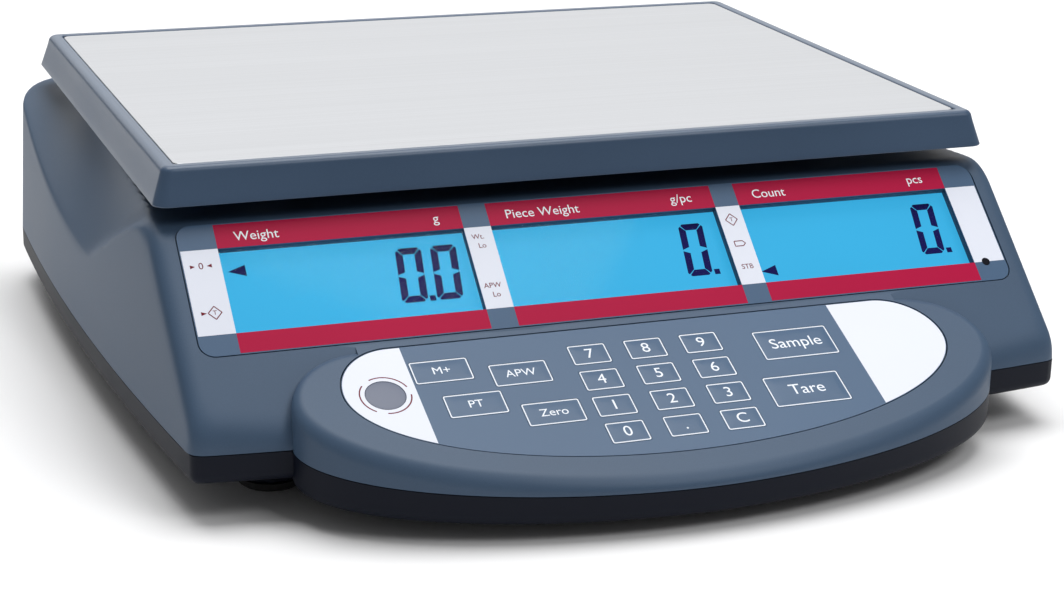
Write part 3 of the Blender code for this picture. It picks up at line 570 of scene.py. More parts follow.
def scoop_section(y):
    """Height and half width of the scoop's low edge at y, and half width of its edge on the deck."""
    low_z = SCOOP_LOW_Z + SCOOP_RISE * (y - SCOOP_LOW_Y) ** 2
    return low_z, half_width(y) - flank_pull(y, low_z), SCOOP_DECK_X - SCOOP_FLARE * (y - SCOOP_FRONT_Y)


def scoop_terms(x, y, z):
    """How far a point stands above the scoop's long face and behind its front run-out."""
    low_z, low_x, top_x = scoop_section(y)
    fall = DECK_Z - low_z
    run = low_x - top_x
    t = np.clip((DECK_Z - z) / fall, 0, 1)
    long_face = ((x - top_x) * fall + (z - DECK_Z) * run) / np.hypot(run, fall) + SCOOP_SAG * 4 * t * (1 - t)
    along = np.clip((y - SCOOP_FRONT_Y) / (SCOOP_TIP_Y - SCOOP_FRONT_Y), 0, 1)
    bulge = SCOOP_END_BULGE * 4 * along * (1 - along)
    behind = (SCOOP_FRONT_FALL * (y - SCOOP_FRONT_Y) + (z - DECK_Z) - bulge) / math.hypot(SCOOP_FRONT_FALL, 1)
    half = half_width(y) - flank_pull(y, z)
    run_out = (behind - SCOOP_END_LEAN * (half - x)) / math.hypot(SCOOP_END_LEAN, 1)
    return long_face, run_out


def housing_distance(points):
    """Signed distance, near the surface, from the cover's main form with its edges rounded."""
    x = np.abs(points[:, 0])
    y = points[:, 1]
    z = points[:, 2]
    deck = z - DECK_Z
    facet = (z - facet_z(y)) * math.cos(FACET_TILT)
    half = half_width(np.minimum(y, CORNER_Y)) - flank_pull(y, z)
    qx = x - (half - BACK_CORNER)
    qy = y - CORNER_Y
    walls = np.minimum(np.maximum(qx, qy), 0) + np.hypot(np.maximum(qx, 0), np.maximum(qy, 0)) - BACK_CORNER
    walls = soft_max(walls, front_line(x) - y, FRONT_SOFT)
    form = soft_max(soft_max(deck, facet, EDGE_SOFT), walls, EDGE_SOFT)
    return soft_max(form, soft_min(*scoop_terms(x, y, z), SCOOP_BLEND), SCOOP_EDGE_SOFT)


def settle(points, level, rounds=12):
    """Moves points along the form's gradient until they lie on the given level of the distance."""
    h = 0.02
    for _ in range(rounds):
        value = housing_distance(points) - level
        slope = np.empty_like(points)
        for axis in range(3):
            step = np.zeros(3)
            step[axis] = h
            slope[:, axis] = (housing_distance(points + step) - housing_distance(points - step)) / (2 * h)
        size = np.maximum((slope ** 2).sum(1), 0.05)
        points = points - slope * (np.clip(value, -3, 3) / size)[:, None]
    return points


def even_out(points, faces, level, free, rounds=6):
    """Spreads the first free points along the surface, which takes out folds where they crowd."""
    quads = np.array(faces)
    pairs = np.unique(np.sort(np.vstack([quads[:, [k, (k + 1) % 4]] for k in range(4)]), axis=1), axis=0)
    ends = np.concatenate([pairs[:, 0], pairs[:, 1]])
    others = np.concatenate([pairs[:, 1], pairs[:, 0]])
    weight = np.bincount(ends, minlength=len(points))[:, None]
    for _ in range(rounds):
        total = np.stack([np.bincount(ends, points[others, axis], len(points)) for axis in range(3)], axis=1)
        moved = points * 0.5 + total / weight * 0.5
        moved[free:] = points[free:]
        points = settle(moved, level, 3)
    return points


def clustered(near, coarse, total):
    """Distances from an edge: the near list, then even steps of about coarse up to total."""
    rest = total - near[-1]
    count = max(1, round(rest / coarse))
    return list(near) + [near[-1] + rest * (i + 1) / count for i in range(count)]


def outline_half(y):
    """Half width of the joint line at y, round the back corners too."""
    if y <= CORNER_Y:
        return half_width(y)
    return half_width(CORNER_Y) - BACK_CORNER + math.sqrt(max(BACK_CORNER ** 2 - (y - CORNER_Y) ** 2, 0))


def grid_columns(fine):
    """Shares of the half width, from left to right, closest together at the flanks."""
    across = clustered(EDGE_STEPS, SCOOP_CELL * fine, SCOOP_BAND)
    across = clustered(across, DECK_CELL * fine, FRONT_CORNER_X)
    side = [1 - d / FRONT_CORNER_X for d in across[:-1]]
    return [-s for s in side] + [0.0] + side[::-1]


def grid_rows(fine):
    """The y of each row, front to back, closer together at the front edge and the scoop's front end."""
    lengths = clustered(EDGE_STEPS, FRONT_CELL * fine, FACET_Y - SCOOP_MARGIN - FRONT_CORNER_Y)
    rows = [FRONT_CORNER_Y + d for d in lengths]
    while rows[-1] < SCOOP_TIP_Y + SCOOP_MARGIN:
        rows.append(rows[-1] + SCOOP_CELL * fine)
    count = round((CORNER_Y - rows[-1]) / (REAR_CELL * fine))
    rows += [rows[-1] + (CORNER_Y - rows[-1]) * (i + 1) / count for i in range(count)]
    angles = [math.pi / 2 * (i + 1) / CORNER_CELLS for i in range(CORNER_CELLS)]
    return rows + [CORNER_Y + BACK_CORNER * math.sin(a) for a in angles]


def first_heights(x, y):
    """Heights near the form's top, from which its points settle onto it."""
    low_z, low_x, top_x = scoop_section(y)
    half = half_width(y) - flank_pull(y, DECK_Z)
    lean = math.hypot(SCOOP_FRONT_FALL, 1) * SCOOP_END_LEAN
    long_z = DECK_Z - np.clip((x - top_x) / (low_x - top_x), 0, 1) * (DECK_Z - low_z)
    end_z = DECK_Z - SCOOP_FRONT_FALL * (y - SCOOP_FRONT_Y) + lean * (half - x)
    return np.minimum(np.minimum(DECK_Z, facet_z(y)), np.maximum(long_z, end_z))


def housing_solid(name, mats, inset=0.0, drop=0.0, fine=1.0):
    """The cover's main form as a closed solid, its top a grid that follows the plan outline."""
    columns = grid_columns(fine)
    rows = grid_rows(fine)
    top = []
    for y in rows:
        share = (y - FRONT_CORNER_Y) / (BACK_Y - FRONT_CORNER_Y)
        for s in columns:
            bow = (front_line(abs(s) * FRONT_CORNER_X) - FRONT_CORNER_Y) * (1 - share) ** 3
            top.append((s * outline_half(y), y + bow, 0.0))
    top = np.array(top)
    top[:, 2] = first_heights(np.abs(top[:, 0]), top[:, 1])
    nc, nr = len(columns), len(rows)
    border = ([(0, c) for c in range(nc)] + [(r, nc - 1) for r in range(1, nr)]
              + [(nr - 1, c) for c in range(nc - 2, -1, -1)] + [(r, 0) for r in range(nr - 2, 0, -1)])
    border = [r * nc + c for r, c in border]
    rim = top[border]
    heights = [np.maximum(rim[:, 2] - fall, PARTING_Z + 0.35) for fall in EDGE_STEPS[1:-1]]
    heights += [heights[-1] * (1 - share) + PARTING_Z * share for share in (0.25, 0.5, 0.75, 1.0)]
    walls = [np.column_stack([rim[:, :2], height]) for height in heights]
    points = settle(np.vstack([top] + walls), -inset)
    count = len(border)
    faces = []
    for r in range(nr - 1):
        for c in range(nc - 1):
            faces.append((r * nc + c, r * nc + c + 1, (r + 1) * nc + c + 1, (r + 1) * nc + c))
    loops = [border] + [[nr * nc + k * count + i for i in range(count)] for k in range(len(walls))]
    for high, low in zip(loops, loops[1:]):
        for i in range(count):
            j = (i + 1) % count
            faces.append((high[j], high[i], low[i], low[j]))
    points = even_out(points, faces, -inset, len(points) - count)
    points[-count:, 2] = PARTING_Z - drop
    faces.append(tuple(reversed(loops[-1])))
    return piece(name, [tuple(p) for p in points], faces, mats)


def lip_outline(inset, steps=96):
    a = LIP_HALF_W - inset
    b = LIP_DEPTH - inset
    front = []
    for i in range(steps + 1):
        angle = math.pi + math.pi * i / steps
        c, s = math.cos(angle), math.sin(angle)
        x = a * math.copysign(abs(c) ** (2 / LIP_FULLNESS), c)
        front.append((x, LIP_Y - b * abs(s) ** (2 / LIP_FULLNESS)))
    back = []
    for i in range(1, CORNER_CELLS + 1):
        angle = math.pi / 2 * i / CORNER_CELLS
        back.append((LIP_BACK_HALF_W + (a - LIP_BACK_HALF_W) * math.cos(angle),
                     LIP_Y + (LIP_BACK_DEPTH - inset) * math.sin(angle)))
    back.append((LIP_BACK_HALF_W, LIP_Y + LIP_BACK_DEPTH + LIP_ROOT))
    return front + back + [(-x, y) for x, y in reversed(back)]


def keypad_height(y):
    return KEYPAD_Z + (y - KEYPAD_Y) * math.tan(KEYPAD_TILT)


def lip_parting(y):
    return PARTING_Z + LIP_PARTING_SLOPE * (y - LIP_PARTING_Y)


def lip_bottom(y):
    return min(LIP_BOTTOM_Z + LIP_BOTTOM_SLOPE * (y - LIP_PARTING_Y), LIP_BOTTOM_Z)


def lip_solid(name, mats, inset=0.0, drop=0.0, soft=4.5):
    """The keypad lip: upright wall, rounded rim and flat sloped top."""
    outline = lip_outline(inset)
    softs = [min(soft, 0.85 * (keypad_height(y) - inset - lip_parting(y) + drop)) for _, y in outline]
    rings = [[(x, y, lip_parting(y) - drop) for x, y in outline]]
    for pull, rise in arc_steps(soft, 9):
        ring = []
        for (x, y), low in zip(lip_outline(inset + pull), softs):
            ring.append((x, y, keypad_height(y) - inset - low * (1 - rise / soft)))
        rings.append(ring)
    return loft(name, rings, mats)


# ---------------------------------------------------------------- outlines on the sloped faces

def lens_outline(extra=0.0):
    middle = (0.0, -(LENS_TOP_V + LENS_BOTTOM_V) / 2)
    size = (LENS_W + 2 * extra, LENS_BOTTOM_V - LENS_TOP_V + 2 * extra)
    return rectangle(*size, middle, LENS_CORNER + extra)


def window_outline(span, extra=0.0):
    middle = ((span[0] + span[1]) / 2, -(WINDOW_TOP_V + WINDOW_BOTTOM_V) / 2)
    size = (span[1] - span[0] + 2 * extra, WINDOW_BOTTOM_V - WINDOW_TOP_V + 2 * extra)
    return rectangle(*size, middle)


def led_bore(name, radius, low, high, mat):
    return slab(name, circle(radius, (LED_U, -LED_V), 24), low, high, [mat], FACET)


def overlay_outline(extra=0.0):
    r = OVERLAY_SHOULDER + extra
    x0 = OVERLAY_HALF_W - OVERLAY_SHOULDER
    v0 = OVERLAY_TOP_V + OVERLAY_SHOULDER
    turns = [math.pi / 2 * i / 20 for i in range(21)]
    points = [(x0 + r * math.cos(a), -v0 + r * math.sin(a)) for a in turns]
    points += [(-x, y) for x, y in reversed(points)]
    half, front = OVERLAY_HALF_W + extra, OVERLAY_FRONT + extra
    turns = [math.pi + math.pi * i / 90 for i in range(1, 90)]
    return points + [(half * math.cos(a), -v0 + front * math.sin(a)) for a in turns]


def power_hole(mat):
    outline = circle(POWER_KEY_R + KEY_HOLE_GAP, (POWER_KEY[0], -POWER_KEY[1]))
    return slab("hole_power", outline, -5, 5, [mat], KEYPAD)


def key_places():
    places = {name: (FUNCTION_KEY, at) for name, at in FUNCTION_KEYS.items()}
    places.update({name: (LARGE_KEY, at) for name, at in LARGE_KEYS.items()})
    for row, names in enumerate(NUMBER_ROWS):
        for column, name in enumerate(names):
            u = NUMBER_FIRST[0] + column * NUMBER_PITCH[0]
            v = NUMBER_FIRST[1] + row * NUMBER_PITCH[1]
            places[name] = (NUMBER_KEY, (u, v))
    return places


# ---------------------------------------------------------------- housing pieces

def build_cover():
    mats = [MATS["cover"]]
    cover = housing_solid("cover_shell", mats)
    combine(cover, [lip_solid("lip", mats)], "UNION")
    inside = housing_solid("cover_hollow", mats, COVER_WALL, HOLLOW_DROP, 2.0)
    combine(inside, [lip_solid("lip_hollow", mats, COVER_WALL, HOLLOW_DROP, 2.0)], "UNION")
    lens_depth = LENS_T + GAP + OVERLAY_BELOW
    film_depth = OVERLAY_BELOW + OVERLAY_T + 0.4 + 2 * GAP
    # The seat cutters give their walls and floors the near-black painted shade, for the shadow in the gap
    # round the lens and keypad film.
    groove_shade = [MATS["groove_shade"]]
    cuts = [inside, slab("lens_seat", lens_outline(SEAT_MARGIN), -lens_depth, 10, groove_shade, FACET)]
    for name, span in WINDOWS.items():
        cuts.append(slab(f"window_{name}", window_outline(span), -9, 12, mats, FACET))
    cuts.append(led_bore("led_hole", LED_R + GAP, -9, 12, MATS["cover"]))
    cuts.append(slab("keypad_seat", overlay_outline(SEAT_MARGIN), -film_depth, 10, groove_shade, KEYPAD))
    for name, at in four_places("platform_cushion"):
        cuts.append(slab(f"post_{name}", circle(POST_HOLE_R, at), DECK_Z - 10, DECK_Z + 10, mats))
    low, high = corners("level_bubble")
    outline = circle((high.x - low.x) / 2 + GAP, plan_middle("level_bubble"))
    cuts.append(slab("bubble_hole", outline, DECK_Z - 10, DECK_Z + 10, mats))
    for node in ("power_inlet", "serial_port"):
        low, high = corners(node)
        hole_low = (low.x - GAP, BACK_Y - 12, low.z - GAP)
        cuts.append(box_between(f"{node}_hole", hole_low, (high.x + GAP, BACK_Y + 9, high.z + GAP), mats))
    combine(cover, cuts, "DIFFERENCE")
    smooth(cover, 32, True)
    fit_to(cover, "housing", "cover_plastic", "top_cover")


def base_outline(inset):
    right = []
    for x in np.linspace(LIP_HALF_W, FRONT_CORNER_X - BASE_CORNER, 8):
        right.append((float(x) - inset * (x / FRONT_CORNER_X), front_line(float(x)) + inset))
    centre = (FRONT_CORNER_X - BASE_CORNER, FRONT_CORNER_Y + BASE_CORNER)
    radius = BASE_CORNER - min(inset, BASE_CORNER - 0.5)
    past = max(inset - BASE_CORNER + 0.5, 0)
    for i in range(1, 7):
        angle = -math.pi / 2 + math.pi / 2 * i / 6
        across, ahead = radius * math.cos(angle) - past, radius * math.sin(angle) + past
        right.append((centre[0] + across, centre[1] + ahead))
    for y in np.linspace(centre[1] + 6, CORNER_Y, 60):
        right.append((half_width(float(y)) - inset, float(y)))
    radius = BACK_CORNER - inset
    middle_x = half_width(CORNER_Y) - BACK_CORNER
    for i in range(1, CORNER_CELLS + 1):
        angle = math.pi / 2 * i / CORNER_CELLS
        right.append((middle_x + radius * math.cos(angle), CORNER_Y + radius * math.sin(angle)))
    return right + [(-x, y) for x, y in reversed(right)]


def flat_bottom(y):
    return BASE_BOTTOM_Z


def base_part(name, outline_at, bottom_at, top, mats, soft, inset=0.0):
    """A solid from a rounded bottom edge up to a level top."""
    rings = []
    for pull, rise in reversed([(p, soft - r) for p, r in arc_steps(soft, 6)]):
        rings.append([(x, y, bottom_at(y) + inset + rise) for x, y in outline_at(inset + pull)])
    rings.append([(x, y, top) for x, y in outline_at(inset)])
    return loft(name, rings, mats)


def build_base():
    """Shallow tub under the cover, with foot bosses, a battery bay and screw holes."""
    mats = [MATS["base"]]
    top = PARTING_Z - GAP
    tub = base_part("base_shell", base_outline, flat_bottom, top, mats, 3.0)
    combine(tub, [base_part("base_lip", lip_outline, lip_bottom, top, mats, 3.5)], "UNION")
    inner = base_part("base_hollow", base_outline, flat_bottom, top + 6, mats, 1.5, BASE_WALL)
    combine(inner, [base_part("lip_hollow", lip_outline, lip_bottom, top + 6, mats, 1.5, BASE_WALL)], "UNION")
    outline = lip_outline(-0.4)
    rim = [(x, y, lip_parting(y) - GAP) for x, y in outline]
    combine(tub, [inner, loft("rim_cut", [rim, [(x, y, DECK_Z) for x, y in outline]], mats)], "DIFFERENCE")
    bosses = []
    holes = []
    for (name, foot), (_, screw) in zip(four_places("foot_pad"), four_places("case_screw")):
        bosses.append(slab(f"boss_{name}", circle(BOSS_R, foot), BASE_BOTTOM_Z + 1, BOSS_TOP_Z, mats))
        holes.append(slab(f"hole_{name}", circle(FOOT_BORE_R, foot), 0, 60, mats))
        holes.append(slab(f"screw_hole_{name}", circle(SCREW_BORE_R, screw, 24), 0, 60, mats))
    low, high = corners("battery")
    bay_low, bay_high = (low.x - GAP, low.y - GAP, 5), (high.x + GAP, high.y + GAP, 25)
    holes.append(box_between("battery_bay", bay_low, bay_high, mats))
    combine(tub, bosses, "UNION")
    combine(tub, holes, "DIFFERENCE")
    smooth(tub, 32, True)
    fit_to(tub, "housing", "base_plastic", "base_tub")


# ---------------------------------------------------------------- platform

def platform_ring(inset, z):
    width = FRAME_HIGH.x - FRAME_LOW.x - 2 * inset
    depth = FRAME_HIGH.y - FRAME_LOW.y - 2 * inset
    middle = (0.0, (FRAME_LOW.y + FRAME_HIGH.y) / 2)
    corner = max(PLATFORM_CORNER - inset * 0.5, 1.2)
    return [(*p, FRAME_LOW.z + z) for p in rectangle(width, depth, middle, corner, 10)]


def plate_ring(inset, z):
    width = PLATE_HIGH.x - PLATE_LOW.x - 2 * inset
    depth = PLATE_HIGH.y - PLATE_LOW.y - 2 * inset
    middle = (0.0, (PLATE_LOW.y + PLATE_HIGH.y) / 2)
    return [(*p, z) for p in rectangle(width, depth, middle, max(PLATE_CORNER - inset, 0.8), 8)]


def build_platform():
    """A ribbed tray with a leaning skirt and a rounded rim, and its steel plate."""
    mats = [MATS["platform"]]
    height = FRAME_HIGH.z - FRAME_LOW.z
    seat = (PLATE_LOW.x - FRAME_LOW.x) - GAP
    seat_z = PLATE_LOW.z - FRAME_LOW.z - GAP
    under = seat_z - TRAY_FLOOR_T
    shoulder = height - PLATFORM_SOFT
    rim_inset = SKIRT_INSET - 0.6
    inside = PLATFORM_WALL + SKIRT_INSET
    profile = [(inside + 1, under), (inside, under - 1), (PLATFORM_WALL - 0.4, 0.4),
               (PLATFORM_WALL - 0.8, 0.0), (0.5, 0.0), (0.12, 0.15), (0.0, 0.5)]
    profile += [(share * rim_inset, 0.5 + share * (shoulder - 0.5)) for share in (0.2, 0.4, 0.6, 0.8)]
    profile += [(rim_inset + pull, shoulder + rise) for pull, rise in arc_steps(PLATFORM_SOFT, 8, 8.0)]
    profile += [(seat - 0.5, height - 0.05), (seat - 0.1, height - 0.3), (seat, height - 0.6), (seat, seat_z)]
    tray = loft("platform_tray", [platform_ring(inset, z) for inset, z in profile], mats)
    rib_low, rib_high = FRAME_LOW.z + under - RIB_DEPTH, FRAME_LOW.z + under + 1
    ribs = []
    for i in range(-3, 4):
        y = (FRAME_LOW.y + FRAME_HIGH.y) / 2 + i * RIB_PITCH_Y
        ribs.append(box_between(f"rib_{i}", (FRAME_LOW.x + 5, y - RIB_T / 2, rib_low),
                                (FRAME_HIGH.x - 5, y + RIB_T / 2, rib_high), mats))
    for i in (-4, -2, 0, 2, 4):
        x = i * RIB_PITCH_X
        ribs.append(box_between(f"rib_x_{i}", (x - RIB_T / 2, FRAME_LOW.y + 5, rib_low),
                                (x + RIB_T / 2, FRAME_HIGH.y - 5, rib_high), mats))
    pockets = []
    for name, at in four_places("platform_cushion"):
        ribs.append(slab(f"seat_{name}", circle(CUSHION_SEAT_R, at), rib_low, rib_high, mats))
        pockets.append(slab(f"pocket_{name}", circle(CUSHION_POCKET_R, at), FRAME_LOW.z + under - 6,
                            FRAME_LOW.z + under - 0.05, mats))
    combine(tray, ribs, "UNION")
    combine(tray, pockets, "DIFFERENCE")
    smooth(tray, 40, True)
    fit_to(tray, "platform", "platform_plastic", "platform_frame")
    edge_z = PLATE_HIGH.z - PLATE_SOFT
    rings = [plate_ring(0.0, PLATE_LOW.z), plate_ring(0.0, edge_z)]
    rings += [plate_ring(pull, edge_z + rise) for pull, rise in arc_steps(PLATE_SOFT, 4)]
    plate = loft("steel_plate", rings, [MATS["steel"]])
    smooth(plate, 50, True)
    fit_to(plate, "platform", "plate_steel", "platform_plate")


# ---------------------------------------------------------------- display

def flat_patch(name, outline, height, mat, onto, thick=PRINT_T):
    return slab(name, outline, height - PRINT_SINK, height + thick, [mat], onto)


def text_patch(name, words, at, size, height, mat, onto, align="CENTER"):
    """Lettering as a thin raised print; at is (u, v) of its middle, or of its left or right end."""
    curve = bpy.data.curves.new(name, "FONT")
    curve.body = words
    curve.size = size * MM
    curve.align_x = align
    curve.align_y = "CENTER"
    curve.extrude = LETTER_T * MM
    curve.resolution_u = 6
    holder = link_object(name, curve)
    bpy.context.view_layer.update()
    graph = bpy.context.evaluated_depsgraph_get()
    mesh = bpy.data.meshes.new_from_object(holder.evaluated_get(graph))
    bpy.data.objects.remove(holder)
    place_at = Matrix.Translation((at[0] * MM, -at[1] * MM, (height + LETTER_T / 2) * MM))
    mesh.transform(onto @ place_at)
    mesh.materials.clear()
    mesh.materials.append(mat)
    return link_object(name, mesh)


def stroke(name, start, end, height):
    """A thin maroon line on the display from start to end, both (u, -v)."""
    run = Vector(end) - Vector(start)
    side = Vector((-run.y, run.x)).normalized() * SIGN_LINE / 2
    outline = [Vector(start) - side, Vector(end) - side, Vector(end) + side, Vector(start) + side]
    return flat_patch(name, [tuple(p) for p in outline], height, MATS["maroon"], FACET)


def closed_line(name, points, height):
    pairs = zip(points, points[1:] + points[:1])
    return [stroke(f"{name}_{i}", a, b, height) for i, (a, b) in enumerate(pairs)]


def arrow_head(name, tip, length, height):
    """A small maroon triangle pointing along +u, or along -u when length is negative."""
    u, w = tip
    outline = fixed_turn([(u - length, w - 0.7), (u, w), (u - length, w + 0.7)])
    return flat_patch(name, outline, height, MATS["maroon"], FACET)


def sign_text(name, words, at, size, height):
    return text_patch(name, words, at, size, height, MATS["maroon"], FACET)


def indicator_signs(top):
    """Plain indicator marks beside the windows: zero, tare, low weight, battery and stable."""
    signs = [sign_text("sign_zero", "0", (-137.9, 16.0), 3.4, top),
             arrow_head("sign_zero_left", (-139.8, -16.0), 1.6, top),
             arrow_head("sign_zero_right", (-136.0, -16.0), -1.6, top),
             arrow_head("sign_tare_arrow", (-139.2, -33.3), 1.8, top)]
    for name, (u, v) in {"tare": (-136.6, 33.3), "preset": (46.4, 15.4)}.items():
        diamond = [(u, -v - 2.4), (u + 2.2, -v), (u, -v + 2.4), (u - 2.2, -v)]
        signs += closed_line(f"sign_{name}", diamond, top)
        signs.append(sign_text(f"sign_{name}_letter", "T", (u, v), 2.2, top))
    cell = [(44.6, -26.1), (47.6, -26.1), (48.6, -25.1), (47.6, -24.1), (44.6, -24.1)]
    signs += closed_line("sign_cell", cell, top)
    lettered = (("Wt.", (-44.9, 13.7)), ("Lo", (-44.2, 17.2)), ("APW", (-44.6, 32.6)), ("Lo", (-44.0, 36.1)),
                ("STB", (46.4, 34.4)))
    return signs + [sign_text("sign_words", words, at, SIGN_SIZE, top) for words, at in lettered]


def build_lens():
    """Printed sheet with three real windows, in bars and panels of ink, and clear film behind the windows."""
    low = -OVERLAY_BELOW - LENS_T
    high = -OVERLAY_BELOW
    ink = MATS["overlay"]
    sheet = slab("display_sheet", lens_outline(), low, high, [ink], FACET)
    holes = [slab(f"hole_{n}", window_outline(s), -5, 5, [ink], FACET) for n, s in WINDOWS.items()]
    combine(sheet, holes + [led_bore("led_bore", LED_BORE_R, -5, 5, ink)], "DIFFERENCE")
    marks = [sheet]
    spans = list(WINDOWS.values())
    for left, right in spans:
        for v0, v1 in ((BAR_TOP_V, WINDOW_TOP_V), (WINDOW_BOTTOM_V, BAR_BOTTOM_V)):
            bar = rectangle(right - left, v1 - v0, ((left + right) / 2, -(v0 + v1) / 2))
            marks.append(flat_patch("red_bar", bar, high, MATS["red"], FACET))
    ends = [-LENS_W / 2 + LENS_BORDER, *spans[0], *spans[1], *spans[2], LENS_W / 2 - LENS_BORDER]
    for span in zip(ends[::2], ends[1::2]):
        marks.append(flat_patch("white_panel", window_outline(span), high, MATS["white"], FACET))
    combine(marks[-1], [led_bore("led_clear", LED_BORE_R, -5, 5, MATS["white"])], "DIFFERENCE")
    top = high + PRINT_T
    marks += indicator_signs(top)
    for title, unit, (left, right) in zip(("Weight", "Piece Weight", "Count"), ("g", "g/pc", "pcs"), spans):
        for words, at, align in ((title, (left + 6, 6.0), "LEFT"), (unit, (right - 7.6, 5.4), "RIGHT")):
            marks.append(text_patch("title", words, at, TITLE_SIZE, top, MATS["ink"], FACET, align))
    sheet = join_meshes("display_overlay", marks)
    smooth(sheet, 30)
    fit_to(sheet, "housing", "lens_print", "display_lens")
    for name, span in WINDOWS.items():
        outline = window_outline(span, FILM_MARGIN)
        film = slab(f"window_film_{name}", outline, low - 0.25, low - 0.02, [MATS["clear"]], FACET)
        smooth(film)
        fit_to(film, "housing", "lens_print")


def segment_shapes():
    """Outlines of the six segments of a zero whose lower left corner is at the origin."""
    w, h, t, g = DIGIT_W, DIGIT_H, SEGMENT_T, SEGMENT_GAP
    c = t * 0.5
    k = t * 0.45
    m = h / 2
    top = [(g + k, h), (w - g - k, h), (w - g - k / 2, h - k / 2), (w - t, h - t), (t, h - t),
           (g + k / 2, h - k / 2)]
    return [top,
            [(x, h - y) for x, y in reversed(top)],
            [(0, m + g), (t, m + c), (t, h - t - g), (k / 2, h - g - k / 2), (0, h - g - k)],
            [(0, g + k), (k / 2, g + k / 2), (t, t + g), (t, m - c), (0, m - g)],
            [(w - t, m + c), (w, m + g), (w, h - g - k), (w - k / 2, h - g - k / 2), (w - t, h - t - g)],
            [(w - t, t + g), (w - k / 2, g + k / 2), (w, g + k), (w, m - g), (w - t, m - c)]]


def lcd_patch(name, outline):
    return flat_patch(name, outline, -LCD_DEPTH, MATS["segment"], FACET, SEGMENT_PRINT)


def build_lcds():
    """Three backlit panels showing zeros, each with a point, two with a pointer."""
    readings = {"weight": (2, True), "piece_weight": (1, False), "count": (1, False)}
    pointers = {"weight": (-125.6, 16.2), "count": (56.2, 34.4)}
    face = -LCD_DEPTH
    low = -WINDOW_BOTTOM_V + DIGIT_FOOT
    for name, span in WINDOWS.items():
        outline = window_outline(span, LCD_MARGIN)
        marks = [slab(f"glass_{name}", outline, face - LCD_T, face, [MATS["lcd"]], FACET)]
        count, split = readings[name]
        right = span[1] - (4.8 if split else 6.8)
        for k in range(count):
            left = right - DIGIT_W - k * (DIGIT_W + DIGIT_GAP)
            for shape in segment_shapes():
                outline = [(left + x + y * DIGIT_SLANT, low + y) for x, y in shape]
                marks.append(lcd_patch("segment", fixed_turn(outline)))
        dot = right - DIGIT_W - 1.4 if split else right + 1.9
        marks.append(lcd_patch("dot", rectangle(2.0, 2.0, (dot, low + 1.0))))
        if name in pointers:
            u, v = pointers[name]
            marks.append(lcd_patch("pointer", [(u - 3.0, -v), (u + 2.8, -v - 2.1), (u + 2.8, -v + 2.1)]))
        module = join_meshes(f"lcd_module_{name}", marks)
        smooth(module, 30)
        fit_to(module, "housing", "lcd_glass", f"lcd_{name}")


# ---------------------------------------------------------------- keypad

def split_outline(outline, at, keep_right):
    """The part of a convex outline on one side of the line u = at."""
    side = (lambda p: p[0] >= at) if keep_right else (lambda p: p[0] <= at)
    made = []
    for a, b in zip(outline, outline[1:] + outline[:1]):
        if side(a):
            made.append(a)
        if side(a) != side(b):
            t = (at - a[0]) / (b[0] - a[0])
            made.append((at, a[1] + t * (b[1] - a[1])))
    return made


def arc_band(start, end, height):
    """A printed band round the power key, from start to end degrees."""
    angles = [math.radians(start + (end - start) * i / 30) for i in range(31)]
    inner, outer = POWER_ARC
    path = [(outer, a) for a in angles] + [(inner, a) for a in reversed(angles)]
    ring = [(POWER_KEY[0] + r * math.cos(a), -POWER_KEY[1] + r * math.sin(a)) for r, a in path]
    return flat_patch("power_arc", ring, height - PRINT_SINK / 2, MATS["maroon"], KEYPAD)


def build_overlay():
    """Keypad film with holes for the keys, white ends and a broken ring round the power key."""
    face = -OVERLAY_BELOW
    film = MATS["overlay"]
    sheet = slab("overlay_sheet", overlay_outline(), face - OVERLAY_T, face, [film], KEYPAD)
    inner = overlay_outline(-0.25)
    white = []
    for at, keep_right in ((WHITE_LEFT_U, False), (WHITE_RIGHT_U, True)):
        outline = split_outline(inner, at, keep_right)
        white.append(flat_patch("white_end", outline, face, MATS["white"], KEYPAD))
    holes = [power_hole(film)]
    for name, (size, (u, v)) in key_places().items():
        outline = rectangle(size[0] + 2 * KEY_HOLE_GAP, size[1] + 2 * KEY_HOLE_GAP, (u, -v), 0.9, 3)
        holes.append(slab(f"hole_{name}", outline, -5, 5, [film], KEYPAD))
    combine(sheet, holes, "DIFFERENCE")
    combine(white[0], [power_hole(MATS["white"])], "DIFFERENCE")
    marks = [sheet] + white
    for start in (20, 140, 260):
        marks.append(arc_band(start, start + 95, face + PRINT_T))
    overlay = join_meshes("keypad_film", marks)
    smooth(overlay, 30)
    fit_to(overlay, "housing", "overlay_print", "keypad_overlay")


def frame_band(name, outer, inner, height, mat):
    """A flat band between two outlines with the same number of points."""
    count = len(outer)
    low, high = height - PRINT_SINK / 2, height + PRINT_T
    rings = ((outer, low), (outer, high), (inner, high), (inner, low))
    verts = [(*p, z) for outline, z in rings for p in outline]
    faces = []
    for i in range(count):
        j = (i + 1) % count
        for ring in range(4):
            a, b = ring * count, ((ring + 1) % 4) * count
            faces.append((a + i, a + j, b + j, b + i))
    return piece(name, verts, faces, [mat], KEYPAD)


def key_ring(size, centre, inset, z):
    corner = max(KEY_CORNER - inset * 0.2, 0.3)
    return [(*p, z) for p in rectangle(size[0] - 2 * inset, size[1] - 2 * inset, centre, corner, 4)]


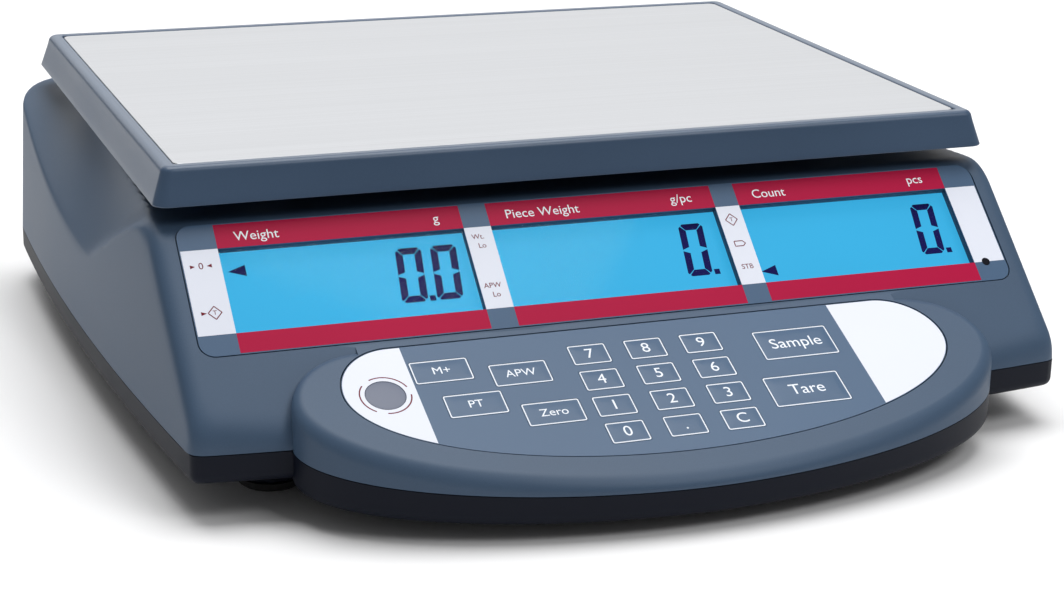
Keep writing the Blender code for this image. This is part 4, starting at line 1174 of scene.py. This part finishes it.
def key_pad(name, size, at, label, text_size):
    """A domed key with a printed outline and its label."""
    centre = (at[0], -at[1])
    dome = ((0.08, 0.0), (0.7, 0.0), (1.2, 0.04), (2.0, 0.12), (3.0, 0.18))
    profile = [(0.0, KEY_LOW), (0.0, KEY_FACE - 0.08)] + [(inset, KEY_FACE + rise) for inset, rise in dome]
    rings = [key_ring(size, centre, inset, z) for inset, z in profile]
    outer = rectangle(size[0] - 0.3, size[1] - 0.3, centre, 0.7, 4)
    inner = rectangle(size[0] - 1.1, size[1] - 1.1, centre, 0.4, 4)
    ink = MATS["ink"]
    marks = [loft(f"pad_{name}", rings, [MATS["key"]], KEYPAD),
             frame_band(f"line_{name}", outer, inner, KEY_FACE, ink),
             text_patch(f"label_{name}", label, at, text_size, KEY_FACE + LABEL_LIFT, ink, KEYPAD)]
    return join_meshes(f"button_{name}", marks)


def build_keys():
    text_sizes = {FUNCTION_KEY: 4.6, LARGE_KEY: 6.6, NUMBER_KEY: 6.2}
    for name, (size, at) in key_places().items():
        button = key_pad(name, size, at, LABELS.get(name, name), text_sizes[size])
        smooth(button, 30)
        fit_to(button, f"key_{name}_body", "key_print", f"key_{name}")
    centre = (POWER_KEY[0], -POWER_KEY[1])
    dome = ((0.1, -0.05), (0.3, 0.0), (1.5, 0.08), (3.0, 0.16), (4.8, 0.2))
    profile = [(0.0, KEY_LOW), (0.0, KEY_FACE - 0.2)] + [(inset, KEY_FACE + rise) for inset, rise in dome]
    rings = [[(*p, z) for p in circle(POWER_KEY_R - inset, centre)] for inset, z in profile]
    button = loft("button_power", rings, [MATS["power"]], KEYPAD)
    smooth(button, 40)
    fit_to(button, "key_power_body", "power_key_print", "key_power")


# ---------------------------------------------------------------- pieces kept from the frame

def dress_frame():
    """Finishes and soft edges for the pieces kept from the frame."""
    finishes = {"led": ["charge_led"], "board": ["display_board", "keypad_membrane", "main_board"],
                "aluminium": ["load_cell"], "plated": ["load_cell_block", "overload_stop", "serial_port"],
                "battery": ["battery"], "base": ["battery_door"], "socket": ["power_inlet"],
                "vial": ["level_bubble"], "cast": ["spider"], "rubber": []}
    for prefix, mat in (("platform_cushion", "rubber"), ("foot_pad", "rubber"), ("foot_knob", "base"),
                        ("case_screw", "plated")):
        finishes[mat] += [f"{prefix}_{name}" for name, _ in four_places(prefix)]
    for mat, node in [(mat, node) for mat, nodes in finishes.items() for node in nodes]:
        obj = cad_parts[node]
        obj.data.materials.clear()
        obj.data.materials.append(MATS[mat])
        step = obj.modifiers.new("soft_edges", "BEVEL")
        step.width = 0.25 * MM
        step.segments = 2
        step.limit_method = "ANGLE"
        step.angle_limit = math.radians(40)
        step.harden_normals = True


# ---------------------------------------------------------------- stage

def area_light(name, at, size, power, aim):
    data = bpy.data.lights.new(name, "AREA")
    data.shape = "RECTANGLE"
    data.size, data.size_y = size
    data.energy = power
    made = link_object(name, data)
    made.location = at
    made.rotation_euler = (Vector(aim) - Vector(at)).to_track_quat("-Z", "Y").to_euler()


def build_stage():
    mesh = bpy.data.meshes.new("floor")
    size = 6.0
    square = [(-size, -size, 0), (size, -size, 0), (size, size, 0), (-size, size, 0)]
    mesh.from_pydata(square, [], [(0, 1, 2, 3)])
    floor = link_object("floor", mesh)
    mat, _, shader = nodes_of("floor_paint")
    shader.inputs["Base Color"].default_value = (0.9, 0.9, 0.905, 1)
    shader.inputs["Roughness"].default_value = 0.7
    mesh.materials.append(mat)
    world = bpy.data.worlds.new("studio")
    bpy.context.scene.world = world
    world.use_nodes = True
    back = world.node_tree.nodes["Background"]
    back.inputs["Color"].default_value = (1.0, 1.0, 1.0, 1)
    back.inputs["Strength"].default_value = 0.20
    area_light("back_wall", (0.3, 2.4, 1.3), (3.6, 2.0), 28, (0, 0.2, 0.1))
    area_light("overhead", (0.15, 0.35, 1.9), (1.8, 1.3), 40, (0, 0.0, 0.0))
    area_light("front_top", (0.7, -1.1, 1.5), (0.9, 0.7), 9, (0, -0.05, 0.05))
    view = bpy.context.scene.view_settings
    view.view_transform = "Standard"
    view.look = "None"


def build_camera():
    azimuth, elevation, roll = (math.radians(a) for a in (-20.757, 17.941, 1.225))
    target = Vector((20.277, 48.091, 5.152)) * MM
    distance = 0.921868
    level = Vector((math.cos(azimuth), math.sin(azimuth), 0))
    ahead = Vector((math.sin(azimuth), -math.cos(azimuth), 0))
    back = ahead * math.cos(elevation) + Vector((0, 0, math.sin(elevation)))
    up = back.cross(level)
    right = level * math.cos(roll) + up * math.sin(roll)
    top = up * math.cos(roll) - level * math.sin(roll)
    data = bpy.data.cameras.new("camera")
    data.lens = 79.42
    data.sensor_width = 36.0
    data.sensor_fit = "HORIZONTAL"
    made = link_object("camera", data)
    rotation = Matrix((right, top, back)).transposed().to_4x4()
    made.matrix_world = Matrix.Translation(target + back * distance) @ rotation
    bpy.context.scene.camera = made


build_cover()
build_base()
build_platform()
build_lens()
build_lcds()
build_overlay()
build_keys()
dress_frame()
build_stage()
build_camera()
